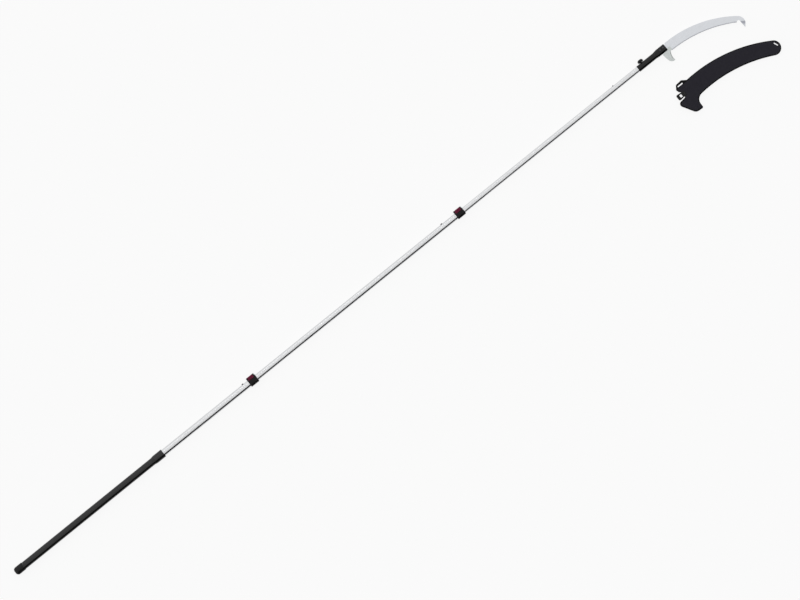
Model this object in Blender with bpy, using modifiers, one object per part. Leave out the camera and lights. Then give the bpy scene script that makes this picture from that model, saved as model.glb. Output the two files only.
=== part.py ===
"""Telescopic pole saw: three oval tubes, two lever clamps, a curved blade and its sheath.

The pole lies along +X with its butt at the origin. +Y is the spine side, where the levers,
the buttons and the head knob are. -Y is the teeth side. The saw lies flat on the ground,
with the blade level, so +Z is up and the pole's axis is REST_HEIGHT above the ground.
"""
import math
from collections import namedtuple

import bmesh
import bpy
from mathutils import Matrix

MM = 0.001

# Clearances
GAP = 0.3 * MM
SLIDE_GAP = 0.4 * MM

# Small chamfer on turned pins and screws
CHAMFER = 0.4 * MM

# How far the pole's axis is above the ground that the saw lies on
REST_HEIGHT = 19.0 * MM

# Pole tubes: oval, with flats that face up and down
BASE_WIDTH = 37.4 * MM
BASE_HEIGHT = 28.4 * MM
BASE_WALL = 1.4 * MM
MIDDLE_WALL = 1.3 * MM
TOP_WALL = 1.3 * MM

# Places along the pole
LOWER_CLAMP_X = 1634.5 * MM
MIDDLE_REACH = 1423.0 * MM
TOP_REACH = 1227.0 * MM
MIDDLE_OVERLAP = 165.0 * MM
TOP_OVERLAP = 224.0 * MM
LOWER_LOCK_DROP = 56.5 * MM
UPPER_LOCK_DROP = 113.5 * MM
STOW_HOLE_DROP = 55.5 * MM
STOW_STUD_DROP = 162.5 * MM

# Butt cap and grip
CAP_WIDTH = 45.0 * MM
CAP_LENGTH = 57.0 * MM
CAP_END_WALL = 9.0 * MM
CAP_ROUNDING = 17.0 * MM
GRIP_LENGTH = 961.5 * MM
GRIP_WALL = 1.3 * MM
FLARE_HEIGHT = 3.0 * MM
FLARE_LENGTH = 53.0 * MM
FLARE_TAPER = 24.0 * MM
FLARE_EDGE = 2.5 * MM

# Bushes in the lower ends of the sliding tubes
END_BUSH_FLANGE = 5.0 * MM
END_BUSH_SPIGOT = 20.0 * MM
END_BUSH_WALL = 1.6 * MM

# Lever clamps
CLAMP_LENGTH = 49.0 * MM
CLAMP_WALL = 4.5 * MM
CLAMP_CORNER = 11.0 * MM
CLAMP_ROUNDING = 1.2 * MM
EAR_WIDTH = 7.2 * MM
EAR_MARGIN = 5.1 * MM
EAR_CORNER = 7.0 * MM
PIVOT_OFFSET = 7.2 * MM
PIVOT_DROP = 6.5 * MM
PIN_RADIUS = 2.0 * MM
LEVER_THICKNESS = 5.2 * MM
LEVER_TOP = 3.7 * MM
LEVER_PROUD = 1.5 * MM
LEVER_LIP = 14.2 * MM
LEVER_LIP_ROUNDING = 1.2 * MM
LEVER_HEEL = 2.5 * MM
LEVER_HEEL_ROUNDING = 3.5 * MM
LEVER_INNER_ROUNDING = 0.8 * MM
CAM_RADIUS = 4.6 * MM
CAM_LIFT = 0.8 * MM
PAD_START = 3.0 * MM
PAD_LENGTH = 16.0 * MM
PAD_HEIGHT = 7.0 * MM
BUSH_FLANGE = 2.2 * MM
BUSH_RIM = 2.0 * MM
CLAMP_SCREW_OFFSET = 14.0 * MM
CLAMP_SCREW_RADIUS = 2.0 * MM
CLAMP_SCREW_HEAD = 3.6 * MM
CLAMP_SCREW_HEAD_HEIGHT = 2.6 * MM

# Lock buttons and their springs
BOSS_RADIUS = 6.2 * MM
BOSS_HEIGHT = 2.0 * MM
BUTTON_RADIUS = 4.0 * MM
BUTTON_HEIGHT = 3.6 * MM
BUTTON_TRAVEL = 1.0 * MM
STUD_RADIUS = 3.7 * MM
STUD_CATCH = 0.5 * MM
BUTTON_CROWN = 0.8 * MM
STUD_CROWN = 1.4 * MM
SPRING_WIDTH = 7.0 * MM
SPRING_THICKNESS = 0.8 * MM
SPRING_REACH = 40.0 * MM
SPRING_BEND = 4.0 * MM
SPRING_TIP = 7.0 * MM
STOW_PROUD = 3.3 * MM
STOW_FLANGE = 1.2 * MM
STOW_FLANGE_LAP = 1.0 * MM

# Head
SOCKET_DEPTH = 101.0 * MM
SOCKET_WALL = 2.0 * MM
BARREL_LENGTH = 108.0 * MM
HEAD_TAPER = 32.0 * MM
HEAD_LENGTH = 188.0 * MM
JAW_WIDTH = 41.0 * MM
JAW_SHIFT = 0.8 * MM
JAW_HEIGHT = 25.0 * MM
JAW_START = 120.0 * MM
JAW_LIP = 4.0 * MM
HEAD_ROUNDING = 2.0 * MM

# Blade and sickle
BLADE_THICKNESS = 1.5 * MM
BLADE_ARC_OFFSET = 205.0 * MM
SPINE_RADIUS = 632.0 * MM
SPINE_CREST = 20.3 * MM
TOOTH_ARC_RADIUS = 697.0 * MM
TOOTH_CREST = 36.2 * MM
TOOTH_START = 2.0 * MM
TOOTH_END = 362.5 * MM
TOOTH_PITCH = 4.6 * MM
TOOTH_DEPTH = 3.2 * MM
TOOTH_RAKE = 0.72
HOOK_START = 387.5 * MM
HOOK_RADIUS = 43.0 * MM
HOOK_END_ANGLE = -22
HOOK_INNER = 380.0 * MM
HOOK_TIP_LEAN = 3.0 * MM
HOOK_TIP_DROP = 53.0 * MM
THROAT_RISE = 6.0 * MM
THROAT_RADIUS = 7.0 * MM
THROAT_LEAN = 3.0 * MM
THROAT_FOOT_RADIUS = 2.0 * MM
HEEL_OFFSET = 7.0 * MM
HEEL_ROUNDING = 4.0 * MM
TANG_HALF_WIDTH = 15.5 * MM
TANG_ROUNDING = 3.0 * MM
SICKLE_THICKNESS = 2.0 * MM
SICKLE_LENGTH = 85.7 * MM
SICKLE_TIP_INSET = 1.2 * MM
SICKLE_EDGE_RADIUS = 68.0 * MM
SICKLE_EDGE_LEAN = 9.5 * MM
SICKLE_LUG = 21.0 * MM
SICKLE_LUG_TOP = 9.0 * MM
SICKLE_LUG_ROUNDING = 7.0 * MM
SICKLE_NECK = 7.0 * MM
SICKLE_TANG_TOP = 11.0 * MM
SICKLE_TANG_PAST_BOLT = 9.0 * MM
SICKLE_BACK_INSET = 37.0 * MM
SICKLE_BACK_RADIUS = 140.0 * MM
SICKLE_SHOULDER_INSET = 31.4 * MM
SICKLE_SHOULDER_DROP = 62.6 * MM
SICKLE_SHOULDER_RADIUS = 27.0 * MM

# Bolts through the jaw
BOLT_RADIUS = 3.0 * MM
BOLT_HEAD_RADIUS = 5.2 * MM
BOLT_HEAD_HEIGHT = 3.2 * MM
BOLT_HEAD_ROUNDING = 1.8 * MM
BOLT_SOCKET_RADIUS = 2.3 * MM
BOLT_SOCKET_DEPTH = 1.8 * MM
NUT_RADIUS = 5.6 * MM
NUT_HEIGHT = 4.5 * MM
BOLT_REAR_INSET = 35.0 * MM
BOLT_SPACING = 21.0 * MM
BOLT_SHIFT = 4.5 * MM

# Head knob
KNOB_OFFSET = 34.5 * MM
KNOB_RADIUS = 16.5 * MM
KNOB_NECK_RADIUS = 10.5 * MM
KNOB_NECK = 0.8 * MM
KNOB_HEIGHT = 17.9 * MM
KNOB_ROUNDING = 6.0 * MM
KNOB_LOBES = 10
KNOB_LOBE_DEPTH = 0.8 * MM
KNOB_BOSS_RADIUS = 9.0 * MM
KNOB_BOSS_HEIGHT = 0.5 * MM
KNOB_STUD_RADIUS = 3.0 * MM
KNOB_STUD_GRIP = 9.0 * MM

# Sheath, in plan, measured from the middle of its mouth
SHEATH_X = 4386.0 * MM
SHEATH_Y = 253.5 * MM
SHEATH_DEPTH = 20.0 * MM
SHEATH_UPPER_RADIUS = 821.0 * MM
SHEATH_UPPER_ARC_X = 117.3 * MM
SHEATH_UPPER_CREST = 48.0 * MM
SHEATH_LOWER_ARC_X = 145.6 * MM
SHEATH_LOWER_CREST = 58.0 * MM
SHEATH_TIP_RADIUS = 40.5 * MM
SHEATH_REACH = 534.5 * MM
SHEATH_RIM = 6.0 * MM
SHEATH_FLANGE = 3.0 * MM
SHEATH_WALL = 2.2 * MM
SHEATH_EDGE_ROUNDING = 2.5 * MM
LOBE_RIGHT = 43.6 * MM
LOBE_FILLET = 42.0 * MM
LOBE_DROP = 126.0 * MM
LOBE_CORNER = 9.0 * MM
LOBE_HEEL_ROUNDING = 30.0 * MM
LOBE_HEEL_X = -3.3 * MM
LOBE_HEEL_RISE = 3.9 * MM
MOUTH_CORNER_X = -58.0 * MM
MOUTH_CORNER_DROP = 27.4 * MM
MOUTH_CORNER_ROUNDING = 17.5 * MM
MOUTH_DROP = 21.2 * MM
MOUTH_ROUNDING = 2.0 * MM
TAB_TOP = 61.0 * MM
TAB_LEFT = 2.0 * MM
TAB_TOP_LENGTH = 37.5 * MM
TAB_TOP_RISE = 3.0 * MM
TAB_TOP_ROUNDING = 8.0 * MM
TAB_CHEEK_X = -14.1 * MM
TAB_CHEEK_Y = 38.0 * MM
TAB_CHEEK_ROUNDING = 5.0 * MM
TAB_CHIN_X = -10.3 * MM
TAB_CHIN_Y = 22.5 * MM
TAB_CHIN_ROUNDING = 3.0 * MM
TAB_ROOT_Y = 12.0 * MM
TAB_FOOT_X = 64.0 * MM
TAB_SLOT_START = 3.0 * MM
TAB_SLOT_INSET = 11.0 * MM
TAB_SLOT_LENGTH = 34.0 * MM
TAB_SLOT_WIDTH = 6.5 * MM
TIP_SLOT_LENGTH = 27.0 * MM
TIP_SLOT_WIDTH = 7.2 * MM
TIP_SLOT_REACH = 23.3 * MM
TIP_SLOT_BEARING = 22
TIP_SLOT_SLANT = -68
LOOP_LENGTH = 40.0 * MM
LOOP_WIDTH = 36.0 * MM
LOOP_HOLE_LENGTH = 12.3 * MM
LOOP_HOLE_HEIGHT = 15.3 * MM
LOOP_HOLE_X = -13.5 * MM
LOOP_THICKNESS = 3.0 * MM
LOOP_CORNER = 8.0 * MM
LOOP_HOLE_CORNER = 3.0 * MM
LOOP_RIGHT = 4.0 * MM
LOOP_TAIL = 12.0 * MM
LOOP_TAIL_NARROWING = 6.0 * MM
LOOP_TAIL_CORNER = 4.0 * MM
LOOP_DROP = 1.6 * MM
RIVET_RADIUS = 1.5 * MM
RIVET_HEAD_RADIUS = 2.4 * MM
RIVET_HEAD_HEIGHT = 0.9 * MM
RIVET_HEAD_ROUNDING = 0.7 * MM
# Places of the rivets, as shares of the top edge and of the lower edge from the tip
TOP_RIVET_SHARES = (0.2, 0.58, 0.96)
LOWER_RIVET_SHARES = (0.18, 0.85)

# Facets
OVAL_STEPS = 9
ROUND_STEPS = 20
CAM_STEPS = 36
SMALL_STEPS = 10
ARC_STEPS = 16
BLADE_STEPS = 8
HOOK_STEPS = 10
TIP_STEPS = 14
CORNER_STEPS = 4
CROWN_STEPS = 3
# An inset point that is nearer to the path than its distance, less this, lies in a loop
INSET_SLACK = 0.05 * MM

# Directions that a section's own normal can point along
ALONG_POLE = (math.pi / 2, 0, math.pi / 2)
TO_SPINE = (-math.pi / 2, 0, 0)
TO_TEETH = (math.pi / 2, 0, 0)
UPRIGHT = (0, 0, 0)

Oval = namedtuple("Oval", "width height")
Finish = namedtuple("Finish", "colour roughness metallic")

ALUMINIUM = Finish((0.78, 0.79, 0.80), 0.34, 1.0)
STEEL = Finish((0.66, 0.68, 0.70), 0.28, 1.0)
GROUND_STEEL = Finish((0.52, 0.55, 0.53), 0.36, 1.0)
DARK_STEEL = Finish((0.20, 0.20, 0.21), 0.40, 1.0)
SPRING_STEEL = Finish((0.45, 0.45, 0.46), 0.35, 1.0)
GRIP_RUBBER = Finish((0.045, 0.045, 0.050), 0.80, 0.0)
BLACK_RUBBER = Finish((0.020, 0.020, 0.022), 0.70, 0.0)
BLACK_PLASTIC = Finish((0.018, 0.018, 0.020), 0.42, 0.0)
GREY_PLASTIC = Finish((0.16, 0.16, 0.17), 0.50, 0.0)
RED_PLASTIC = Finish((0.26, 0.012, 0.045), 0.38, 0.0)
SHEATH_PLASTIC = Finish((0.030, 0.030, 0.042), 0.50, 0.0)


# Collections, frames and finishes

for leftover in list(bpy.data.objects):
    bpy.data.objects.remove(leftover, do_unlink=True)

PARTS = bpy.data.collections.new("pole_saw")
CUTTERS = bpy.data.collections.new("cutters")
for group in (PARTS, CUTTERS):
    bpy.context.scene.collection.children.link(group)


def frame(name, location, parent=None):
    """An empty that carries the pieces of one body or one fitting."""
    empty = bpy.data.objects.new(name, None)
    empty.location = location
    empty.parent = parent
    PARTS.objects.link(empty)
    return empty


def paint(part, finish):
    """Give a part its own Principled material."""
    material = bpy.data.materials.new(part.name + "_finish")
    material.use_nodes = True
    shader = material.node_tree.nodes["Principled BSDF"]
    shader.inputs["Base Color"].default_value = (*finish.colour, 1)
    shader.inputs["Roughness"].default_value = finish.roughness
    shader.inputs["Metallic"].default_value = finish.metallic
    part.data.materials.clear()
    part.data.materials.append(material)


def place(name, mesh, parent, location=(0, 0, 0), rotation=UPRIGHT, finish=None):
    """Put a mesh in the model as a named part, or as a cutter where it has no finish."""
    part = bpy.data.objects.new(name, mesh)
    part.parent = parent
    part.location = location
    part.rotation_euler = rotation
    if finish is None:
        CUTTERS.objects.link(part)
        part.hide_render = True
        part.display_type = "WIRE"
    else:
        PARTS.objects.link(part)
        paint(part, finish)
    return part


def combine(part, other, operation, solver):
    """Add a Boolean to a part."""
    modifier = part.modifiers.new(other.name, "BOOLEAN")
    modifier.operation = operation
    modifier.solver = solver
    modifier.object = other


def cut(part, cutter, solver="EXACT"):
    combine(part, cutter, "DIFFERENCE", solver)


def join(part, other, solver="EXACT"):
    combine(part, other, "UNION", solver)


def round_edges(part, width, segments, limited=True):
    """Round the sharp edges of a part's first shape, before its holes are cut."""
    modifier = part.modifiers.new("rounding", "BEVEL")
    modifier.width = width
    modifier.segments = segments
    modifier.limit_method = "ANGLE"
    modifier.angle_limit = math.radians(60)
    modifier.use_clamp_overlap = limited
    part.modifiers.new("facets", "TRIANGULATE")


# Flat outlines

def grow(oval, amount):
    """The oval at a distance outside the given one, or inside it if amount is negative."""
    return Oval(oval.width + 2 * amount, oval.height + 2 * amount)


def oval_outline(oval, shift=0.0):
    """Two half circles joined by flats, as (y, z) points."""
    radius = oval.height / 2
    reach = oval.width / 2 - radius
    points = []
    for side in (1, -1):
        for step in range(OVAL_STEPS + 1):
            angle = math.pi * (step / OVAL_STEPS - 0.5)
            across = reach + radius * math.cos(angle)
            points.append((shift + side * across, side * radius * math.sin(angle)))
    return points


def oval_reach(oval, level):
    """How far the round side of an oval is from its centre line at a level."""
    radius = oval.height / 2
    return oval.width / 2 - radius + math.sqrt(radius ** 2 - level ** 2)


def arc(centre, radius, start, end, steps):
    """Points on a circle, between two angles in radians, ends included."""
    return [
        (
            centre[0] + radius * math.cos(start + (end - start) * step / steps),
            centre[1] + radius * math.sin(start + (end - start) * step / steps),
        )
        for step in range(steps + 1)
    ]


def circle(radius, steps=ROUND_STEPS, centre=(0, 0)):
    return arc(centre, radius, 0, math.tau * (1 - 1 / steps), steps - 1)


def crowned(radius, top, rounding):
    """Profile of a flat-topped head with a rounded edge, from its axis out to its side."""
    return [(0, top)] + arc((radius - rounding, top - rounding), rounding, math.pi / 2, 0, CROWN_STEPS)


def rounded(corners, closed=True):
    """A chain of straight lines with a radius at each corner, given as (x, y, radius)."""
    points = []
    last = len(corners) - 1
    for index, (x, y, radius) in enumerate(corners):
        if radius == 0 or (not closed and index in (0, last)):
            points.append((x, y))
            continue
        before = corners[index - 1]
        after = corners[(index + 1) % len(corners)]
        into = math.atan2(y - before[1], x - before[0])
        out = math.atan2(after[1] - y, after[0] - x)
        turn = (out - into + math.pi) % math.tau - math.pi
        setback = radius * math.tan(abs(turn) / 2)
        side = math.copysign(1, turn)
        start = (x - setback * math.cos(into), y - setback * math.sin(into))
        centre = (start[0] - side * radius * math.sin(into), start[1] + side * radius * math.cos(into))
        first = into - side * math.pi / 2
        points += arc(centre, radius, first, first + turn, CORNER_STEPS)
    return points


def bow(start, end, radius, steps):
    """An arc between two points that bends to the left, or to the right if its radius is negative."""
    dx, dy = end[0] - start[0], end[1] - start[1]
    half = math.hypot(dx, dy) / 2
    side = math.copysign(1, radius)
    rise = side * math.sqrt(radius ** 2 - half ** 2) / (2 * half)
    centre = ((start[0] + end[0]) / 2 - rise * dy, (start[1] + end[1]) / 2 + rise * dx)
    first = bearing(centre, start)
    sweep = side * 2 * math.asin(half / abs(radius))
    return arc(centre, abs(radius), first, first + sweep, steps)


def slot_outline(length, width):
    """A slot with round ends, along x."""
    reach = (length - width) / 2
    right = arc((reach, 0), width / 2, -math.pi / 2, math.pi / 2, CORNER_STEPS)
    left = arc((-reach, 0), width / 2, math.pi / 2, 3 * math.pi / 2, CORNER_STEPS)
    return right + left


def bearing(centre, point):
    return math.atan2(point[1] - centre[1], point[0] - centre[0])


def distance_to_path(point, path):
    """Shortest distance from a point to an open chain of lines."""
    best = math.inf
    for (ax, ay), (bx, by) in zip(path, path[1:]):
        dx, dy = bx - ax, by - ay
        share = ((point[0] - ax) * dx + (point[1] - ay) * dy) / (dx * dx + dy * dy)
        share = min(1.0, max(0.0, share))
        best = min(best, math.hypot(point[0] - ax - share * dx, point[1] - ay - share * dy))
    return best


def inset_path(path, distance):
    """An open chain moved to its right by a distance, without the loops that tight bends make."""
    points = []
    last = len(path) - 1
    for index, (x, y) in enumerate(path):
        into = bearing(path[max(index, 1) - 1], path[max(index, 1)])
        out = bearing(path[min(index, last - 1)], path[min(index, last - 1) + 1])
        half_turn = ((out - into + math.pi) % math.tau - math.pi) / 2
        heading = into + half_turn
        reach = distance / math.cos(half_turn)
        point = (x + reach * math.sin(heading), y - reach * math.cos(heading))
        if distance_to_path(point, path) > distance - INSET_SLACK:
            points.append(point)
    return points


# Solids

def prism(outlines, low, high):
    """Flat outlines, the first outside and the others holes, extruded from low to high."""
    curve = bpy.data.curves.new("outline", "CURVE")
    curve.dimensions = "2D"
    curve.fill_mode = "BOTH"
    curve.extrude = (high - low) / 2
    for outline in outlines:
        spline = curve.splines.new("POLY")
        spline.points.add(len(outline) - 1)
        for point, (x, y) in zip(spline.points, outline):
            point.co = (x, y, 0, 1)
        spline.use_cyclic_u = True
    holder = bpy.data.objects.new("outline", curve)
    PARTS.objects.link(holder)
    view = bpy.context.evaluated_depsgraph_get()
    mesh = bpy.data.meshes.new_from_object(holder.evaluated_get(view))
    bpy.data.objects.remove(holder)
    bpy.data.curves.remove(curve)
    solid = bmesh.new()
    solid.from_mesh(mesh)
    bmesh.ops.remove_doubles(solid, verts=solid.verts, dist=0.001 * MM)
    bmesh.ops.translate(solid, verts=solid.verts, vec=(0, 0, (low + high) / 2))
    bmesh.ops.recalc_face_normals(solid, faces=solid.faces)
    solid.to_mesh(mesh)
    solid.free()
    return mesh


def rod(radius, low, high, steps=ROUND_STEPS):
    """A round bar along its own z."""
    mesh = bpy.data.meshes.new("rod")
    solid = bmesh.new()
    bmesh.ops.create_cone(
        solid, cap_ends=True, segments=steps, radius1=radius, radius2=radius, depth=high - low
    )
    bmesh.ops.translate(solid, verts=solid.verts, vec=(0, 0, (low + high) / 2))
    solid.to_mesh(mesh)
    solid.free()
    mesh.shade_smooth()
    mesh.set_sharp_from_angle(angle=math.radians(40))
    return mesh


def block(low, high):
    """A box between two corners."""
    mesh = bpy.data.meshes.new("block")
    solid = bmesh.new()
    size = [b - a for a, b in zip(low, high)]
    middle = [(a + b) / 2 for a, b in zip(low, high)]
    bmesh.ops.create_cube(solid, size=1, matrix=Matrix.Translation(middle) @ Matrix.Diagonal((*size, 1)))
    solid.to_mesh(mesh)
    solid.free()
    return mesh


def ring_at(x, oval, shift=0.0):
    """The outline of an oval as a ring of points across the pole."""
    return [(x, y, z) for y, z in oval_outline(oval, shift)]


def loft(rings, hollow=False):
    """A skin through rings of points. A hollow one runs out and back, and closes on itself."""
    mesh = bpy.data.meshes.new("loft")
    solid = bmesh.new()
    loops = [[solid.verts.new(point) for point in ring] for ring in rings]
    count = len(rings[0])
    following = loops[1:] + loops[:1] if hollow else loops[1:]
    for lower, upper in zip(loops, following):
        for index in range(count):
            after = (index + 1) % count
            solid.faces.new((lower[index], lower[after], upper[after], upper[index]))
    if not hollow:
        solid.faces.new(loops[0])
        solid.faces.new(loops[-1])
    bmesh.ops.recalc_face_normals(solid, faces=solid.faces)
    solid.to_mesh(mesh)
    solid.free()
    mesh.shade_smooth()
    mesh.set_sharp_from_angle(angle=math.radians(35))
    return mesh


def turned(name, profile, parent, location, rotation, finish, steps=ROUND_STEPS):
    """A part turned about its own z, from a profile that runs down its outer side."""
    mesh = bpy.data.meshes.new(name)
    mesh.from_pydata(
        [(radius, 0, height) for radius, height in profile],
        [(index, index + 1) for index in range(len(profile) - 1)],
        [],
    )
    part = place(name, mesh, parent, location, rotation, finish)
    screw = part.modifiers.new("turning", "SCREW")
    screw.steps = steps
    screw.render_steps = steps
    screw.use_merge_vertices = True
    screw.merge_threshold = 0.01 * MM
    return part


# Sizes that follow from the driving ones

BASE = Oval(BASE_WIDTH, BASE_HEIGHT)
BASE_BORE = grow(BASE, -BASE_WALL)
MIDDLE = grow(BASE_BORE, -SLIDE_GAP)
MIDDLE_BORE = grow(MIDDLE, -MIDDLE_WALL)
TOP = grow(MIDDLE_BORE, -SLIDE_GAP)
TOP_BORE = grow(TOP, -TOP_WALL)

UPPER_CLAMP_X = LOWER_CLAMP_X + MIDDLE_REACH
HEAD_X = UPPER_CLAMP_X + TOP_REACH
LOWER_LOCK_X = LOWER_CLAMP_X - LOWER_LOCK_DROP
UPPER_LOCK_X = UPPER_CLAMP_X - UPPER_LOCK_DROP
STOW_HOLE_X = UPPER_CLAMP_X - STOW_HOLE_DROP
STOW_STUD_X = HEAD_X - STOW_STUD_DROP

# A tube ends a little past the middle of the clamp on it, and the clamp's bush takes over
TUBE_PAST_CLAMP = 1.0 * MM
STUD_HOLE_RADIUS = STUD_RADIUS + SLIDE_GAP
BUTTON_HOLE_RADIUS = BUTTON_RADIUS + GAP


# Bodies of the saw

saw = frame("saw", (0, 0, 0))
middle_section = frame("middle_section", (LOWER_CLAMP_X, 0, 0), saw)
top_section = frame("top_section", (MIDDLE_REACH, 0, 0), middle_section)
head = frame("head", (TOP_REACH, 0, 0), top_section)
lower_clamp = frame("lower_clamp", (LOWER_CLAMP_X, 0, 0), saw)
upper_clamp = frame("upper_clamp", (MIDDLE_REACH, 0, 0), middle_section)
sheath = frame("sheath", (SHEATH_X, -SHEATH_Y, 0), saw)


# Pole tubes, their cap, grip and bushes

def make_tube(name, outer, wall, low, high, parent):
    mesh = prism([oval_outline(outer), oval_outline(grow(outer, -wall))], low, high)
    mesh.shade_smooth()
    mesh.set_sharp_from_angle(angle=math.radians(35))
    return place(name, mesh, parent, rotation=ALONG_POLE, finish=ALUMINIUM)


def bore_side(part, x, side, radius, reach, parent):
    """Drill a round hole from the pole's axis out to one side."""
    rotation = TO_SPINE if side > 0 else TO_TEETH
    drill = place(part.name + "_drill", rod(radius, 0, reach), parent, (x, 0, 0), rotation)
    cut(part, drill)


base_tube = make_tube(
    "base_tube", BASE, BASE_WALL, CAP_END_WALL + GAP, LOWER_CLAMP_X + TUBE_PAST_CLAMP, saw
)
middle_tube = make_tube(
    "middle_tube", MIDDLE, MIDDLE_WALL, -MIDDLE_OVERLAP, MIDDLE_REACH + TUBE_PAST_CLAMP, middle_section
)
top_tube = make_tube(
    "top_tube", TOP, TOP_WALL, -TOP_OVERLAP, TOP_REACH + SOCKET_DEPTH - GAP, top_section
)
SCREW_HOLE_RADIUS = CLAMP_SCREW_RADIUS + GAP
bore_side(base_tube, LOWER_LOCK_X, 1, BUTTON_HOLE_RADIUS, BASE_WIDTH, saw)
bore_side(base_tube, LOWER_CLAMP_X - CLAMP_SCREW_OFFSET, -1, SCREW_HOLE_RADIUS, BASE_WIDTH, saw)
bore_side(middle_tube, -LOWER_LOCK_DROP, 1, STUD_HOLE_RADIUS, BASE_WIDTH, middle_section)
bore_side(middle_tube, MIDDLE_REACH - UPPER_LOCK_DROP, 1, BUTTON_HOLE_RADIUS, BASE_WIDTH, middle_section)
bore_side(middle_tube, MIDDLE_REACH - STOW_HOLE_DROP, 1, BUTTON_HOLE_RADIUS, BASE_WIDTH, middle_section)
bore_side(
    middle_tube, MIDDLE_REACH - CLAMP_SCREW_OFFSET, -1, SCREW_HOLE_RADIUS, BASE_WIDTH, middle_section
)
bore_side(top_tube, -UPPER_LOCK_DROP, 1, STUD_HOLE_RADIUS, BASE_WIDTH, top_section)
bore_side(top_tube, TOP_REACH - STOW_STUD_DROP, 1, STUD_HOLE_RADIUS, BASE_WIDTH, top_section)


def make_butt_cap():
    """A cup over the pole's end, domed outside, with a small flat at the very end."""
    outer = Oval(CAP_WIDTH, 2 * REST_HEIGHT)
    pocket = grow(BASE, GAP)
    rings = []
    dome_steps = 6
    for step in range(dome_steps + 1):
        angle = math.pi / 2 * step / dome_steps
        inset = CAP_ROUNDING * (1 - math.sin(angle))
        rings.append(ring_at(CAP_ROUNDING * (1 - math.cos(angle)), grow(outer, -inset)))
    rings.append(ring_at(CAP_LENGTH - FLARE_EDGE, outer))
    rings.append(ring_at(CAP_LENGTH, grow(outer, -FLARE_EDGE / 2)))
    rings.append(ring_at(CAP_LENGTH, pocket))
    rings.append(ring_at(CAP_END_WALL, pocket))
    return place("butt_cap", loft(rings), saw, finish=BLACK_RUBBER)


def make_grip():
    """A sleeve over the base tube that flares out to a hand stop at its upper end."""
    bore = grow(BASE, GAP)
    body = grow(bore, GRIP_WALL)
    flare = grow(body, FLARE_HEIGHT)
    start = CAP_LENGTH + GAP
    end = start + GRIP_LENGTH
    stop = end - FLARE_LENGTH
    rings = [ring_at(start, body)]
    taper_steps = 4
    for step in range(taper_steps + 1):
        share = step / taper_steps
        swell = FLARE_HEIGHT * (1 - math.cos(math.pi * share)) / 2
        rings.append(ring_at(stop - FLARE_TAPER * (1 - share), grow(body, swell)))
    rings.append(ring_at(end - FLARE_EDGE, flare))
    rings.append(ring_at(end, grow(flare, -FLARE_EDGE / 2)))
    rings.append(ring_at(end, bore))
    rings.append(ring_at(start, bore))
    return place("grip_sleeve", loft(rings, hollow=True), saw, finish=GRIP_RUBBER)


def make_end_bush(name, tube_bore, slides_in, tube_start, parent):
    """A ring behind a sliding tube's lower end, with a spigot pushed into the tube."""
    flange = grow(slides_in, -GAP)
    spigot = grow(tube_bore, -GAP)
    bore = grow(spigot, -END_BUSH_WALL)
    low = tube_start - GAP - END_BUSH_FLANGE
    step = tube_start - GAP
    high = tube_start + END_BUSH_SPIGOT
    rings = [
        ring_at(low, flange),
        ring_at(step, flange),
        ring_at(step, spigot),
        ring_at(high, spigot),
        ring_at(high, bore),
        ring_at(low, bore),
    ]
    return place(name, loft(rings, hollow=True), parent, finish=GREY_PLASTIC)


make_butt_cap()
make_grip()
make_end_bush("middle_end_bush", MIDDLE_BORE, BASE_BORE, -MIDDLE_OVERLAP, middle_section)
make_end_bush("top_end_bush", TOP_BORE, MIDDLE_BORE, -TOP_OVERLAP, top_section)


# Lever clamps

LEVER_LENGTH = CLAMP_LENGTH - 2 * (EAR_WIDTH + GAP)
CAM_REACH = CAM_RADIUS + CAM_LIFT


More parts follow.
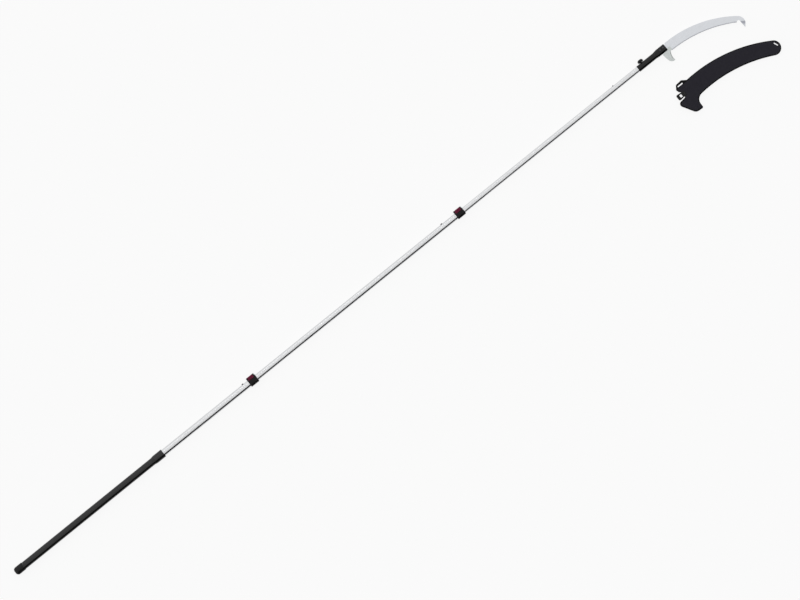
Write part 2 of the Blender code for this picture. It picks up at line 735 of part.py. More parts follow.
def make_housing(prefix, outer, centre):
    """A collar round the outer tube with two ears, and room for the lever between them."""
    pivot = outer.width / 2 + PIVOT_OFFSET
    teeth_face = -(outer.width / 2 + GAP + CLAMP_WALL)
    section = rounded([
        (teeth_face, -REST_HEIGHT, CLAMP_CORNER),
        (pivot + EAR_MARGIN, -REST_HEIGHT, EAR_CORNER),
        (pivot + EAR_MARGIN, REST_HEIGHT, EAR_CORNER),
        (teeth_face, REST_HEIGHT, CLAMP_CORNER),
    ])
    half = CLAMP_LENGTH / 2
    housing = place(
        prefix + "_clamp_housing", prism([section], -half, half), centre,
        rotation=ALONG_POLE, finish=BLACK_PLASTIC,
    )
    round_edges(housing, CLAMP_ROUNDING, segments=1)
    bore = prism([oval_outline(grow(outer, GAP))], -CLAMP_LENGTH, CLAMP_LENGTH)
    cut(housing, place(prefix + "_bore", bore, centre, rotation=ALONG_POLE))
    beyond = 4 * REST_HEIGHT
    seat = pivot + EAR_MARGIN - LEVER_THICKNESS - GAP
    lip = pivot - LEVER_LIP - 2 * GAP
    shelf = REST_HEIGHT + LEVER_PROUD - LEVER_TOP - GAP
    room = [(seat, -beyond), (beyond, -beyond), (beyond, beyond), (lip, beyond), (lip, shelf), (seat, shelf)]
    half_room = LEVER_LENGTH / 2 + GAP
    room_tool = place(
        prefix + "_lever_room", prism([room], -half_room, half_room), centre, rotation=ALONG_POLE
    )
    cut(housing, room_tool)
    cam_room = rod(CAM_REACH + GAP, -half_room, half_room, CAM_STEPS)
    cut(housing, place(prefix + "_cam_room", cam_room, centre, (0, pivot, -PIVOT_DROP), ALONG_POLE))
    pin_hole = rod(PIN_RADIUS + GAP, -CLAMP_LENGTH, CLAMP_LENGTH)
    cut(housing, place(prefix + "_pin_hole", pin_hole, centre, (0, pivot, -PIVOT_DROP), ALONG_POLE))
    screw_at = (-CLAMP_SCREW_OFFSET, teeth_face, 0)
    sink = rod(CLAMP_SCREW_HEAD + GAP, -CLAMP_SCREW_HEAD_HEIGHT - GAP, CLAMP_WALL)
    cut(housing, place(prefix + "_screw_sink", sink, centre, screw_at, TO_TEETH))
    shank_hole = rod(SCREW_HOLE_RADIUS, -2 * CLAMP_WALL, CLAMP_WALL)
    cut(housing, place(prefix + "_screw_hole", shank_hole, centre, screw_at, TO_TEETH))
    return housing


def make_lever(prefix, outer, centre):
    """An L-shaped lever over the housing's shoulder, with an off-centre cam at its root."""
    pivot = outer.width / 2 + PIVOT_OFFSET
    inner_face = EAR_MARGIN - LEVER_THICKNESS
    top = REST_HEIGHT + LEVER_PROUD + PIVOT_DROP
    leg = rounded([
        (inner_face, -LEVER_HEEL, 0),
        (EAR_MARGIN, -LEVER_HEEL, LEVER_HEEL_ROUNDING),
        (EAR_MARGIN, top, EAR_CORNER),
        (-LEVER_LIP, top, LEVER_LIP_ROUNDING),
        (-LEVER_LIP, top - LEVER_TOP, LEVER_LIP_ROUNDING),
        (inner_face, top - LEVER_TOP, LEVER_INNER_ROUNDING),
    ])
    half = LEVER_LENGTH / 2
    lever = place(
        prefix + "_clamp_lever", prism([leg], -half, half), centre,
        (0, pivot, -PIVOT_DROP), ALONG_POLE, RED_PLASTIC,
    )
    cam = rod(CAM_RADIUS, -half, half, CAM_STEPS)
    join(lever, place(prefix + "_cam", cam, centre, (0, pivot - CAM_LIFT, -PIVOT_DROP), ALONG_POLE))
    pin_hole = rod(PIN_RADIUS + GAP, -CLAMP_LENGTH, CLAMP_LENGTH)
    cut(lever, place(prefix + "_lever_hole", pin_hole, centre, (0, pivot, -PIVOT_DROP), ALONG_POLE))
    return lever


def make_clamp_bush(prefix, outer, inner, centre):
    """A guide ring that carries on from the outer tube's end to the housing's mouth."""
    bore = grow(inner, SLIDE_GAP)
    rim = grow(outer, BUSH_RIM)
    low = TUBE_PAST_CLAMP + GAP
    mouth = CLAMP_LENGTH / 2 + GAP
    high = mouth + BUSH_FLANGE
    rings = [
        ring_at(low, outer),
        ring_at(mouth, outer),
        ring_at(mouth, rim),
        ring_at(high, rim),
        ring_at(high, bore),
        ring_at(low, bore),
    ]
    return place(prefix + "_clamp_bush", loft(rings, hollow=True), centre, finish=GREY_PLASTIC)


def make_brake_pad(prefix, outer, inner, centre, windows):
    """A pad between the cam and the sliding tube, in a window of the housing and its bush."""
    pivot = outer.width / 2 + PIVOT_OFFSET
    back = pivot - CAM_REACH - GAP
    start = TUBE_PAST_CLAMP + PAD_START
    root = (inner.width - inner.height) / 2
    bottom = -PIVOT_DROP - PAD_HEIGHT / 2
    low = (start, root, bottom)
    high = (start + PAD_LENGTH, back, bottom + PAD_HEIGHT)
    pad = place(prefix + "_brake_pad", block(low, high), centre, finish=BLACK_RUBBER)
    clear = prism([oval_outline(grow(inner, GAP))], 0, CLAMP_LENGTH)
    cut(pad, place(prefix + "_pad_face", clear, centre, rotation=ALONG_POLE))
    window = block(
        (low[0] - GAP, root, low[2] - GAP), (high[0] + GAP, pivot - CAM_LIFT, high[2] + GAP)
    )
    opening = place(prefix + "_pad_window", window, centre)
    for piece in windows:
        cut(piece, opening)


def make_clamp(prefix, outer, inner, centre):
    housing = make_housing(prefix, outer, centre)
    make_lever(prefix, outer, centre)
    bush = make_clamp_bush(prefix, outer, inner, centre)
    make_brake_pad(prefix, outer, inner, centre, (housing, bush))
    pivot = outer.width / 2 + PIVOT_OFFSET
    half = CLAMP_LENGTH / 2 - GAP
    turned(
        prefix + "_lever_pin",
        [(0, half), (PIN_RADIUS - CHAMFER, half), (PIN_RADIUS, half - CHAMFER),
         (PIN_RADIUS, -half + CHAMFER), (PIN_RADIUS - CHAMFER, -half), (0, -half)],
        centre, (0, pivot, -PIVOT_DROP), ALONG_POLE, DARK_STEEL, SMALL_STEPS,
    )
    wall = (outer.width - grow(inner, SLIDE_GAP).width) / 2
    tip = CLAMP_WALL + GAP + wall - GAP
    turned(
        prefix + "_clamp_screw",
        [(0, 0), (CLAMP_SCREW_HEAD - CHAMFER, 0), (CLAMP_SCREW_HEAD, -CHAMFER),
         (CLAMP_SCREW_HEAD, -CLAMP_SCREW_HEAD_HEIGHT), (CLAMP_SCREW_RADIUS, -CLAMP_SCREW_HEAD_HEIGHT),
         (CLAMP_SCREW_RADIUS, -tip), (0, -tip)],
        centre, (-CLAMP_SCREW_OFFSET, -(outer.width / 2 + GAP + CLAMP_WALL), 0), TO_TEETH, DARK_STEEL,
    )


make_clamp("lower", BASE, MIDDLE, lower_clamp)
make_clamp("upper", MIDDLE, TOP, upper_clamp)


# Locks: a button in a boss on the outer tube, and a sprung stud inside the inner one

def leaf_outline(reach, legs):
    """A thin V-shaped leaf: two legs at the bore's sides that meet in a tight bend."""
    half = SPRING_THICKNESS / 2
    neck = SPRING_BEND - reach
    centre_line = [
        (SPRING_TIP, legs), (0, legs), (neck, SPRING_BEND), (-reach, 0),
        (neck, -SPRING_BEND), (0, -legs), (SPRING_TIP, -legs),
    ]
    sides = ([], [])
    for index, (x, y) in enumerate(centre_line):
        before = centre_line[max(index - 1, 0)]
        after = centre_line[min(index + 1, len(centre_line) - 1)]
        heading = math.atan2(after[1] - before[1], after[0] - before[0])
        for side, points in zip((1, -1), sides):
            points.append((x - side * half * math.sin(heading), y + side * half * math.cos(heading)))
    return sides[0] + sides[1][::-1]


def make_leaf(name, bore, x, parent, lowered=0.0):
    """A leaf spring across a tube's bore, its open end under the stud."""
    legs = oval_reach(bore, SPRING_WIDTH / 2) - GAP - SPRING_THICKNESS - lowered
    half = SPRING_WIDTH / 2
    mesh = prism([leaf_outline(SPRING_REACH, legs)], -half, half)
    return place(name, mesh, parent, (x, 0, 0), finish=SPRING_STEEL), legs


def make_lock(prefix, outer, inner_name, inner_bore, slide_in, outer_parent, outer_x, inner_parent, inner_x):
    """One release button on the outer tube, over the stud that locks the inner tube in it."""
    crest = outer.width / 2
    wall = crest - slide_in.width / 2
    boss = place(
        prefix + "_button_boss", rod(BOSS_RADIUS, 0, crest + BOSS_HEIGHT), outer_parent,
        (outer_x, 0, 0), TO_SPINE, BLACK_PLASTIC,
    )
    saddle = prism([oval_outline(grow(outer, GAP))], -BASE_WIDTH, BASE_WIDTH)
    cut(boss, place(prefix + "_boss_saddle", saddle, outer_parent, (outer_x, 0, 0), ALONG_POLE))
    well = rod(BUTTON_HOLE_RADIUS, 0, 2 * crest)
    cut(boss, place(prefix + "_boss_well", well, outer_parent, (outer_x, 0, 0), TO_SPINE))
    bottom = -wall + BUTTON_TRAVEL
    turned(
        prefix + "_release_button",
        crowned(BUTTON_RADIUS, BUTTON_HEIGHT, BUTTON_CROWN) + [(BUTTON_RADIUS, bottom), (0, bottom)],
        outer_parent, (outer_x, crest, 0), TO_SPINE, BLACK_PLASTIC,
    )
    spring, legs = make_leaf(inner_name + "_lock_spring", inner_bore, inner_x, inner_parent)
    top = crest - wall + STUD_CATCH
    stud = rod(STUD_RADIUS, legs, top, ROUND_STEPS)
    join(spring, place(inner_name + "_lock_stud", stud, inner_parent, (inner_x, 0, 0), TO_SPINE))


make_lock(
    "lower", BASE, "middle", MIDDLE_BORE, BASE_BORE, saw, LOWER_LOCK_X, middle_section, -LOWER_LOCK_DROP
)
make_lock(
    "upper", MIDDLE, "top", TOP_BORE, MIDDLE_BORE,
    middle_section, MIDDLE_REACH - UPPER_LOCK_DROP, top_section, -UPPER_LOCK_DROP,
)


def make_stow_stud():
    """A flanged stud through the top tube's spine side, with a leaf spring under it."""
    x = TOP_REACH - STOW_STUD_DROP
    flange_radius = STUD_HOLE_RADIUS + STOW_FLANGE_LAP
    seat = oval_reach(TOP_BORE, flange_radius) - GAP
    crest = TOP.width / 2 + STOW_PROUD
    turned(
        "stow_stud",
        crowned(STUD_RADIUS, crest, STUD_CROWN) + [
            (STUD_RADIUS, seat), (flange_radius, seat), (flange_radius, seat - STOW_FLANGE),
            (0, seat - STOW_FLANGE)],
        top_section, (x, 0, 0), TO_SPINE, DARK_STEEL,
    )
    leg_seat = oval_reach(TOP_BORE, SPRING_WIDTH / 2) - GAP - SPRING_THICKNESS / 2
    lowered = leg_seat - (seat - STOW_FLANGE - GAP)
    make_leaf("stow_spring", TOP_BORE, x, top_section, lowered)


make_stow_stud()


# Head socket and jaw plate

JAW = Oval(JAW_WIDTH, JAW_HEIGHT)
SEAT_LEVEL = -(BLADE_THICKNESS / 2 + GAP)
SICKLE_LEVEL = BLADE_THICKNESS / 2 + GAP
PLATE_LEVEL = SICKLE_LEVEL + SICKLE_THICKNESS + GAP
FRONT_BOLT_X = HEAD_LENGTH - BOLT_REAR_INSET + BOLT_SPACING
REAR_BOLT_X = HEAD_LENGTH - BOLT_REAR_INSET
BOLT_Y = JAW_SHIFT + BOLT_SHIFT


def head_skin():
    """The head's outer shape: an oval barrel that widens to the jaw."""
    barrel = grow(TOP, GAP + SOCKET_WALL)
    rings = [
        ring_at(0, grow(barrel, -HEAD_ROUNDING / 2)),
        ring_at(HEAD_ROUNDING, barrel),
    ]
    taper_steps = 5
    for step in range(taper_steps + 1):
        share = step / taper_steps
        ease = (1 - math.cos(math.pi * share)) / 2
        section = Oval(
            barrel.width + (JAW.width - barrel.width) * ease,
            barrel.height + (JAW.height - barrel.height) * ease,
        )
        rings.append(ring_at(BARREL_LENGTH + HEAD_TAPER * share, section, JAW_SHIFT * ease))
    rings.append(ring_at(HEAD_LENGTH - HEAD_ROUNDING, JAW, JAW_SHIFT))
    rings.append(ring_at(HEAD_LENGTH, grow(JAW, -HEAD_ROUNDING), JAW_SHIFT))
    return loft(rings)


def drill_jaw(part, radius):
    """Bore both bolt holes through a part of the jaw."""
    for index, x in enumerate((REAR_BOLT_X, FRONT_BOLT_X), start=1):
        drill = rod(radius, -2 * JAW_HEIGHT, 2 * JAW_HEIGHT)
        cut(part, place(f"{part.name}_bolt_hole_{index}", drill, head, (x, BOLT_Y, 0)))


def make_head_socket():
    socket = place("head_socket", head_skin(), head, finish=BLACK_PLASTIC)
    barrel_crest = TOP.width / 2 + GAP + SOCKET_WALL
    boss = rod(KNOB_BOSS_RADIUS, TOP.width / 2, barrel_crest + KNOB_BOSS_HEIGHT)
    join(socket, place("knob_boss", boss, head, (KNOB_OFFSET, 0, 0), TO_SPINE))
    bore = prism([oval_outline(grow(TOP, GAP))], -HEAD_LENGTH, SOCKET_DEPTH)
    cut(socket, place("socket_bore", bore, head, rotation=ALONG_POLE))
    stud_hole = rod(KNOB_STUD_RADIUS + GAP, 0, 2 * barrel_crest)
    cut(socket, place("knob_stud_hole", stud_hole, head, (KNOB_OFFSET, 0, 0), TO_SPINE))
    far = 2 * HEAD_LENGTH
    jaw_room = block((JAW_START, -far, SEAT_LEVEL), (far, far, far))
    cut(socket, place("jaw_room", jaw_room, head))
    drill_jaw(socket, BOLT_RADIUS + GAP)


def make_jaw_plate():
    """The upper half of the jaw, with a lip that reaches down beside the blade's tang."""
    plate = place("jaw_plate", head_skin(), head, finish=BLACK_PLASTIC)
    far = 2 * HEAD_LENGTH
    lip = JAW_SHIFT + JAW_WIDTH / 2 - JAW_LIP
    cut(plate, place("plate_back", block((-far, -far, -far), (JAW_START + GAP, far, far)), head))
    cut(plate, place("plate_under", block((-far, -far, -far), (far, lip, PLATE_LEVEL)), head))
    cut(plate, place("lip_under", block((-far, 0, -far), (far, far, -BLADE_THICKNESS / 2)), head))
    drill_jaw(plate, BOLT_RADIUS + GAP)


def make_jaw_bolts():
    top = JAW_HEIGHT / 2 + GAP
    nut_top = -JAW_HEIGHT / 2 - GAP
    end = nut_top - NUT_HEIGHT
    for index, x in enumerate((REAR_BOLT_X, FRONT_BOLT_X), start=1):
        bolt = turned(
            f"blade_bolt_{index}",
            crowned(BOLT_HEAD_RADIUS, top + BOLT_HEAD_HEIGHT, BOLT_HEAD_ROUNDING) + [
                (BOLT_HEAD_RADIUS, top), (BOLT_RADIUS, top), (BOLT_RADIUS, end), (0, end)],
            head, (x, BOLT_Y, 0), UPRIGHT, DARK_STEEL,
        )
        socket = rod(BOLT_SOCKET_RADIUS, top + BOLT_HEAD_HEIGHT - BOLT_SOCKET_DEPTH, 2 * JAW_HEIGHT, 6)
        cut(bolt, place(f"bolt_socket_{index}", socket, head, (x, BOLT_Y, 0)))
        nut = prism([circle(NUT_RADIUS, 6), circle(BOLT_RADIUS + GAP)], end, nut_top)
        place(f"blade_nut_{index}", nut, head, (x, BOLT_Y, 0), finish=DARK_STEEL)


make_head_socket()
make_jaw_plate()
make_jaw_bolts()


# Head knob and its stud

def make_head_knob():
    crest = TOP.width / 2 + GAP + SOCKET_WALL + KNOB_BOSS_HEIGHT + GAP
    rim = []
    around = 4 * KNOB_LOBES
    for step in range(around):
        angle = math.tau * step / around
        swell = KNOB_LOBE_DEPTH * (1 - math.cos(KNOB_LOBES * angle)) / 2
        rim.append(((KNOB_RADIUS - swell) * math.cos(angle), (KNOB_RADIUS - swell) * math.sin(angle)))
    knob = place(
        "head_knob", prism([rim], KNOB_NECK, KNOB_HEIGHT), head,
        (KNOB_OFFSET, crest, 0), TO_SPINE, BLACK_PLASTIC,
    )
    round_edges(knob, KNOB_ROUNDING, segments=3)
    neck = rod(KNOB_NECK_RADIUS, 0, KNOB_NECK + KNOB_ROUNDING)
    join(knob, place("knob_neck", neck, head, (KNOB_OFFSET, crest, 0), TO_SPINE))
    stud_room = rod(KNOB_STUD_RADIUS + GAP, -KNOB_HEIGHT, KNOB_STUD_GRIP + GAP)
    cut(knob, place("knob_stud_room", stud_room, head, (KNOB_OFFSET, crest, 0), TO_SPINE))
    low = TOP.width / 2 + GAP
    turned(
        "knob_stud",
        [(0, crest + KNOB_STUD_GRIP), (KNOB_STUD_RADIUS, crest + KNOB_STUD_GRIP),
         (KNOB_STUD_RADIUS, low + CHAMFER), (KNOB_STUD_RADIUS - CHAMFER, low), (0, low)],
        head, (KNOB_OFFSET, 0, 0), TO_SPINE, DARK_STEEL,
    )


make_head_knob()


# Blade and sickle

def blade_outline():
    """Spine arc, hook, teeth on the inner arc, and the tang that the jaw holds."""
    spine_centre = (0, SPINE_CREST - SPINE_RADIUS)
    tooth_centre = (0, -TOOTH_CREST - TOOTH_ARC_RADIUS)
    heel = HEAD_LENGTH + HEEL_OFFSET - BLADE_ARC_OFFSET
    tang = JAW_START + 2 * GAP - BLADE_ARC_OFFSET
    heel_angle = math.acos(heel / SPINE_RADIUS)
    hook_angle = math.acos(HOOK_START / SPINE_RADIUS)
    spine = arc(spine_centre, SPINE_RADIUS, heel_angle, hook_angle, ARC_STEPS)
    lead = SPINE_RADIUS - HOOK_RADIUS
    hook_centre = (lead * math.cos(hook_angle), spine_centre[1] + lead * math.sin(hook_angle))
    hook = arc(hook_centre, HOOK_RADIUS, hook_angle, math.radians(HOOK_END_ANGLE), HOOK_STEPS)[1:]
    edge_end = math.acos(TOOTH_END / TOOTH_ARC_RADIUS)
    edge_start = math.acos(TOOTH_START / TOOTH_ARC_RADIUS)
    edge_point = arc(tooth_centre, TOOTH_ARC_RADIUS, edge_end, edge_end, 1)[0]
    throat = edge_point[1] + THROAT_RISE
    claw = rounded(
        [
            (HOOK_INNER + HOOK_TIP_LEAN, throat - HOOK_TIP_DROP, 0),
            (HOOK_INNER, throat, THROAT_RADIUS),
            (edge_point[0] + THROAT_LEAN, throat, THROAT_FOOT_RADIUS),
            (*edge_point, 0),
        ],
        closed=False,
    )
    count = round((edge_start - edge_end) * TOOTH_ARC_RADIUS / TOOTH_PITCH)
    pitch = (edge_start - edge_end) / count
    teeth = []
    for index in range(count):
        angle = edge_end + index * pitch
        tip = angle + TOOTH_RAKE * pitch
        gullet = angle + pitch
        teeth += arc(tooth_centre, TOOTH_ARC_RADIUS, tip, tip, 1)[:1]
        teeth += arc(tooth_centre, TOOTH_ARC_RADIUS + TOOTH_DEPTH, gullet, gullet, 1)[:1]
    foot = rounded(
        [
            (*teeth[-1], 0),
            (heel, -TOOTH_CREST + TOOTH_DEPTH, HEEL_ROUNDING),
            (heel, -TANG_HALF_WIDTH, 0),
            (tang, -TANG_HALF_WIDTH, TANG_ROUNDING),
            (tang, TANG_HALF_WIDTH, TANG_ROUNDING),
            (heel, TANG_HALF_WIDTH, 0),
        ],
        closed=False,
    )[1:]
    return spine + hook + claw + teeth + foot


def sickle_outline():
    """A tang under both bolts, a lug over the blade's heel and a pointed blade with a hollow edge."""
    tip = (HEAD_LENGTH - SICKLE_TIP_INSET, -SICKLE_LENGTH)
    foot = -TOOTH_CREST + TOOTH_DEPTH
    edge = bow(tip, (tip[0] + SICKLE_EDGE_LEAN, foot), -SICKLE_EDGE_RADIUS, BLADE_STEPS)
    tang_end = REAR_BOLT_X - SICKLE_TANG_PAST_BOLT
    lug_end = HEAD_LENGTH + SICKLE_LUG
    neck = HEAD_LENGTH - SICKLE_NECK
    back_top = (HEAD_LENGTH - SICKLE_BACK_INSET, -TANG_HALF_WIDTH)
    lug = rounded(
        [
            (*edge[-1], 0),
            (lug_end, foot, SICKLE_LUG_ROUNDING),
            (lug_end, -SICKLE_LUG_TOP, SICKLE_LUG_ROUNDING),
            (neck, -SICKLE_LUG_TOP, 0),
            (neck, SICKLE_TANG_TOP, TANG_ROUNDING),
            (tang_end, SICKLE_TANG_TOP, TANG_ROUNDING),
            (tang_end, -TANG_HALF_WIDTH, TANG_ROUNDING),
            (*back_top, 0),
        ],
        closed=False,
    )[1:-1]
    shoulder = (HEAD_LENGTH - SICKLE_SHOULDER_INSET, -SICKLE_SHOULDER_DROP)
    back = bow(back_top, shoulder, SICKLE_BACK_RADIUS, BLADE_STEPS)
    belly = bow(shoulder, tip, SICKLE_SHOULDER_RADIUS, BLADE_STEPS)[1:-1]
    return edge + lug + back + belly


def make_blades():
    half = BLADE_THICKNESS / 2
    blade = place(
        "blade", prism([blade_outline()], -half, half), head, (BLADE_ARC_OFFSET, 0, 0), finish=STEEL
    )
    sickle = place(
        "sickle", prism([sickle_outline()], SICKLE_LEVEL, SICKLE_LEVEL + SICKLE_THICKNESS),
        head, finish=GROUND_STEEL,
    )
    for part in (blade, sickle):
        drill_jaw(part, BOLT_RADIUS + GAP)


make_blades()


# Sheath

# The shells' long thin facets are where the exact solver fails when a size changes
SHELL_SOLVER = "MANIFOLD"
SHEATH_BOTTOM = -REST_HEIGHT
SHEATH_TOP = SHEATH_BOTTOM + SHEATH_DEPTH
SHEATH_PARTING = SHEATH_BOTTOM + SHEATH_DEPTH / 2
LOBE_HEEL = (LOBE_HEEL_X, LOBE_HEEL_RISE - LOBE_DROP)
MOUTH_CORNER = (MOUTH_CORNER_X, -MOUTH_CORNER_DROP)
UPPER_CENTRE = (SHEATH_UPPER_ARC_X, SHEATH_UPPER_CREST - SHEATH_UPPER_RADIUS)
MOUTH_ANGLE = math.acos(-SHEATH_UPPER_ARC_X / SHEATH_UPPER_RADIUS)
# The tip's circle runs on from the top edge, and the lower edge's arc runs on from that circle
TIP_TOP_REACH = SHEATH_UPPER_RADIUS - SHEATH_TIP_RADIUS
TIP_CENTRE = (
    SHEATH_REACH,
    UPPER_CENTRE[1] + math.sqrt(TIP_TOP_REACH ** 2 - (SHEATH_REACH - SHEATH_UPPER_ARC_X) ** 2),
)
TIP_ALONG = SHEATH_REACH - SHEATH_LOWER_ARC_X
TIP_DROP = -TIP_CENTRE[1] - SHEATH_LOWER_CREST
SHEATH_LOWER_RADIUS = (TIP_ALONG ** 2 + TIP_DROP ** 2 - SHEATH_TIP_RADIUS ** 2) / (
    2 * (SHEATH_TIP_RADIUS + TIP_DROP)
)
LOWER_CENTRE = (SHEATH_LOWER_ARC_X, -SHEATH_LOWER_CREST - SHEATH_LOWER_RADIUS)
TAB_FOOT_RISE = math.sqrt(SHEATH_UPPER_RADIUS ** 2 - (TAB_FOOT_X - SHEATH_UPPER_ARC_X) ** 2)
TAB_FOOT = (TAB_FOOT_X, UPPER_CENTRE[1] + TAB_FOOT_RISE)


def sheath_walls():
    """The closed edges of the sheath, from the mouth along the top, round the tip and back."""
    tip_start = bearing(UPPER_CENTRE, TIP_CENTRE)
    tip_end = bearing(TIP_CENTRE, LOWER_CENTRE)
    fillet_x = LOBE_RIGHT + LOBE_FILLET
    fillet_reach = SHEATH_LOWER_RADIUS - LOBE_FILLET
    fillet_y = LOWER_CENTRE[1] + math.sqrt(fillet_reach ** 2 - (fillet_x - LOWER_CENTRE[0]) ** 2)
    fillet = (fillet_x, fillet_y)
    lower_start = bearing(LOWER_CENTRE, TIP_CENTRE)
    lower_end = bearing(LOWER_CENTRE, fillet)
    top = arc(UPPER_CENTRE, SHEATH_UPPER_RADIUS, MOUTH_ANGLE, tip_start, ARC_STEPS)
    tip = arc(TIP_CENTRE, SHEATH_TIP_RADIUS, tip_start, tip_end, TIP_STEPS)[1:]
    bottom = arc(LOWER_CENTRE, SHEATH_LOWER_RADIUS, lower_start, lower_end, ARC_STEPS)[1:]
    inner = arc(fillet, LOBE_FILLET, lower_end, math.pi, CORNER_STEPS)[1:]
    lobe = rounded(
        [
            (*inner[-1], 0),
            (LOBE_RIGHT, -LOBE_DROP, LOBE_CORNER),
            (*LOBE_HEEL, LOBE_HEEL_ROUNDING),
            (*MOUTH_CORNER, 0),
        ],
        closed=False,
    )[1:-1]
    return top + tip + bottom + inner + lobe


def sheath_mouth():
    """The open edge, from the lobe's heel up to the top edge."""
    return rounded(
        [
            (*LOBE_HEEL, 0),
            (*MOUTH_CORNER, MOUTH_CORNER_ROUNDING),
            (0, -MOUTH_DROP, MOUTH_ROUNDING),
            (0, UPPER_CENTRE[1] + SHEATH_UPPER_RADIUS * math.sin(MOUTH_ANGLE), 0),
        ],
        closed=False,
    )[1:-1]


def tab_outline():
    """The ear with the belt slot, from the mouth round to its foot on the top edge."""
    return rounded(
        [
            (0, TAB_ROOT_Y - TAB_CHIN_ROUNDING, 0),
            (0, TAB_ROOT_Y, MOUTH_ROUNDING),
            (TAB_CHIN_X, TAB_CHIN_Y, TAB_CHIN_ROUNDING),
            (TAB_CHEEK_X, TAB_CHEEK_Y, TAB_CHEEK_ROUNDING),
            (TAB_LEFT, TAB_TOP, TAB_TOP_ROUNDING),
            (TAB_LEFT + TAB_TOP_LENGTH, TAB_TOP + TAB_TOP_RISE, TAB_TOP_ROUNDING),
            (*TAB_FOOT, 0),
        ],
        closed=False,
    )


def make_shell(name, side, walls, mouth):
    """Half of the sheath: a flange at the parting plane and a raised pan with a pocket in it."""
    parting = SHEATH_PARTING + side * GAP / 2
    face = SHEATH_TOP if side > 0 else SHEATH_BOTTOM
    pocket_floor = face - side * SHEATH_WALL
    past_foot = [point for point in walls if point[0] > TAB_FOOT_X or point[1] < 0]
    flange_levels = sorted((parting, parting + side * SHEATH_FLANGE))
    edge = tab_outline() + past_foot + mouth
    shell = place(name, prism([edge], *flange_levels), sheath, finish=SHEATH_PLASTIC)
    # Past the heel the pan runs out from the rim to the open edge
    share = SHEATH_RIM / math.dist(walls[-1], mouth[0])
    open_start = tuple(here + (there - here) * share for here, there in zip(walls[-1], mouth[0]))
    pan_edge = inset_path(walls, SHEATH_RIM) + inset_path([open_start] + mouth, GAP)
    pan_levels = sorted((parting + side * GAP / 2, face))
    pan = place(name + "_pan", prism([pan_edge], *pan_levels), sheath)
    round_edges(pan, SHEATH_EDGE_ROUNDING, segments=2, limited=False)
    join(shell, pan, SHELL_SOLVER)
    pocket_edge = inset_path(walls, SHEATH_RIM + SHEATH_WALL)
    # The pocket runs out through the mouth below the tab, and a wall closes it behind the tab
    outside = 2 * MOUTH_CORNER_X
    below_tab = TAB_ROOT_Y - TAB_CHIN_ROUNDING
    end_wall = GAP + SHEATH_WALL
    pocket = [(end_wall, pocket_edge[0][1])] + pocket_edge[1:] + [
        (outside, pocket_edge[-1][1]),
        (outside, below_tab),
        (end_wall, below_tab),
    ]
    pocket_levels = sorted((pocket_floor, parting - side * SHEATH_FLANGE))
    cut(shell, place(name + "_pocket", prism([pocket], *pocket_levels), sheath), SHELL_SOLVER)
    return shell


def make_sheath_slots(shells):
    """The belt slot in the tab and the drain slot near the round tip."""
    through = 2 * SHEATH_DEPTH
    belt_x = TAB_SLOT_START + TAB_SLOT_LENGTH / 2
    belt_y = TAB_TOP - TAB_SLOT_INSET - TAB_SLOT_WIDTH / 2
    belt_shape = prism([slot_outline(TAB_SLOT_LENGTH, TAB_SLOT_WIDTH)], -through, through)
    belt = place("belt_slot", belt_shape, sheath, (belt_x, belt_y, 0))
    direction = math.radians(TIP_SLOT_BEARING)
    tip_x = TIP_CENTRE[0] + TIP_SLOT_REACH * math.cos(direction)
    tip_y = TIP_CENTRE[1] + TIP_SLOT_REACH * math.sin(direction)
    tip_shape = prism([slot_outline(TIP_SLOT_LENGTH, TIP_SLOT_WIDTH)], -through, through)
    tip = place("tip_slot", tip_shape, sheath, (tip_x, tip_y, 0), (0, 0, math.radians(TIP_SLOT_SLANT)))
    for shell in shells:
        cut(shell, belt, SHELL_SOLVER)
        cut(shell, tip, SHELL_SOLVER)


def rivet(name, x, y, low, high):
    """A rivet with a low head on each side, closed over the faces at low and high."""
    top = high + GAP
    bottom = low - GAP
    upper = crowned(RIVET_HEAD_RADIUS, top + RIVET_HEAD_HEIGHT, RIVET_HEAD_ROUNDING)
    lower = [(radius, top + bottom - height) for radius, height in reversed(upper)]
    turned(
        name,
        upper + [(RIVET_HEAD_RADIUS, top), (RIVET_RADIUS, top), (RIVET_RADIUS, bottom),
                 (RIVET_HEAD_RADIUS, bottom)] + lower,
        sheath, (x, y, 0), UPRIGHT, DARK_STEEL, SMALL_STEPS,
    )


def make_sheath_rivets(shells):
    """Rivets in the rim: three along the top edge, two along the lower edge."""
    top_reach = SHEATH_UPPER_RADIUS - SHEATH_RIM / 2
    bottom_reach = SHEATH_LOWER_RADIUS + SHEATH_RIM / 2
    tip_angle = bearing(UPPER_CENTRE, TIP_CENTRE)
    low_angle = bearing(LOWER_CENTRE, TIP_CENTRE)
    spots = []
    for share in TOP_RIVET_SHARES:
        angle = MOUTH_ANGLE + (tip_angle - MOUTH_ANGLE) * share
        spots += arc(UPPER_CENTRE, top_reach, angle, angle, 1)[:1]
    for share in LOWER_RIVET_SHARES:
        angle = low_angle + (math.pi / 2 - low_angle) * share
        spots += arc(LOWER_CENTRE, bottom_reach, angle, angle, 1)[:1]
    flange = GAP / 2 + SHEATH_FLANGE
    for index, (x, y) in enumerate(spots, start=1):
        rivet(f"sheath_rivet_{index}", x, y, SHEATH_PARTING - flange, SHEATH_PARTING + flange)
        hole = rod(RIVET_RADIUS + GAP, -2 * SHEATH_DEPTH, 2 * SHEATH_DEPTH, SMALL_STEPS)
        drill = place(f"rivet_hole_{index}", hole, sheath, (x, y, 0))
        for shell in shells:
            cut(shell, drill, SHELL_SOLVER)


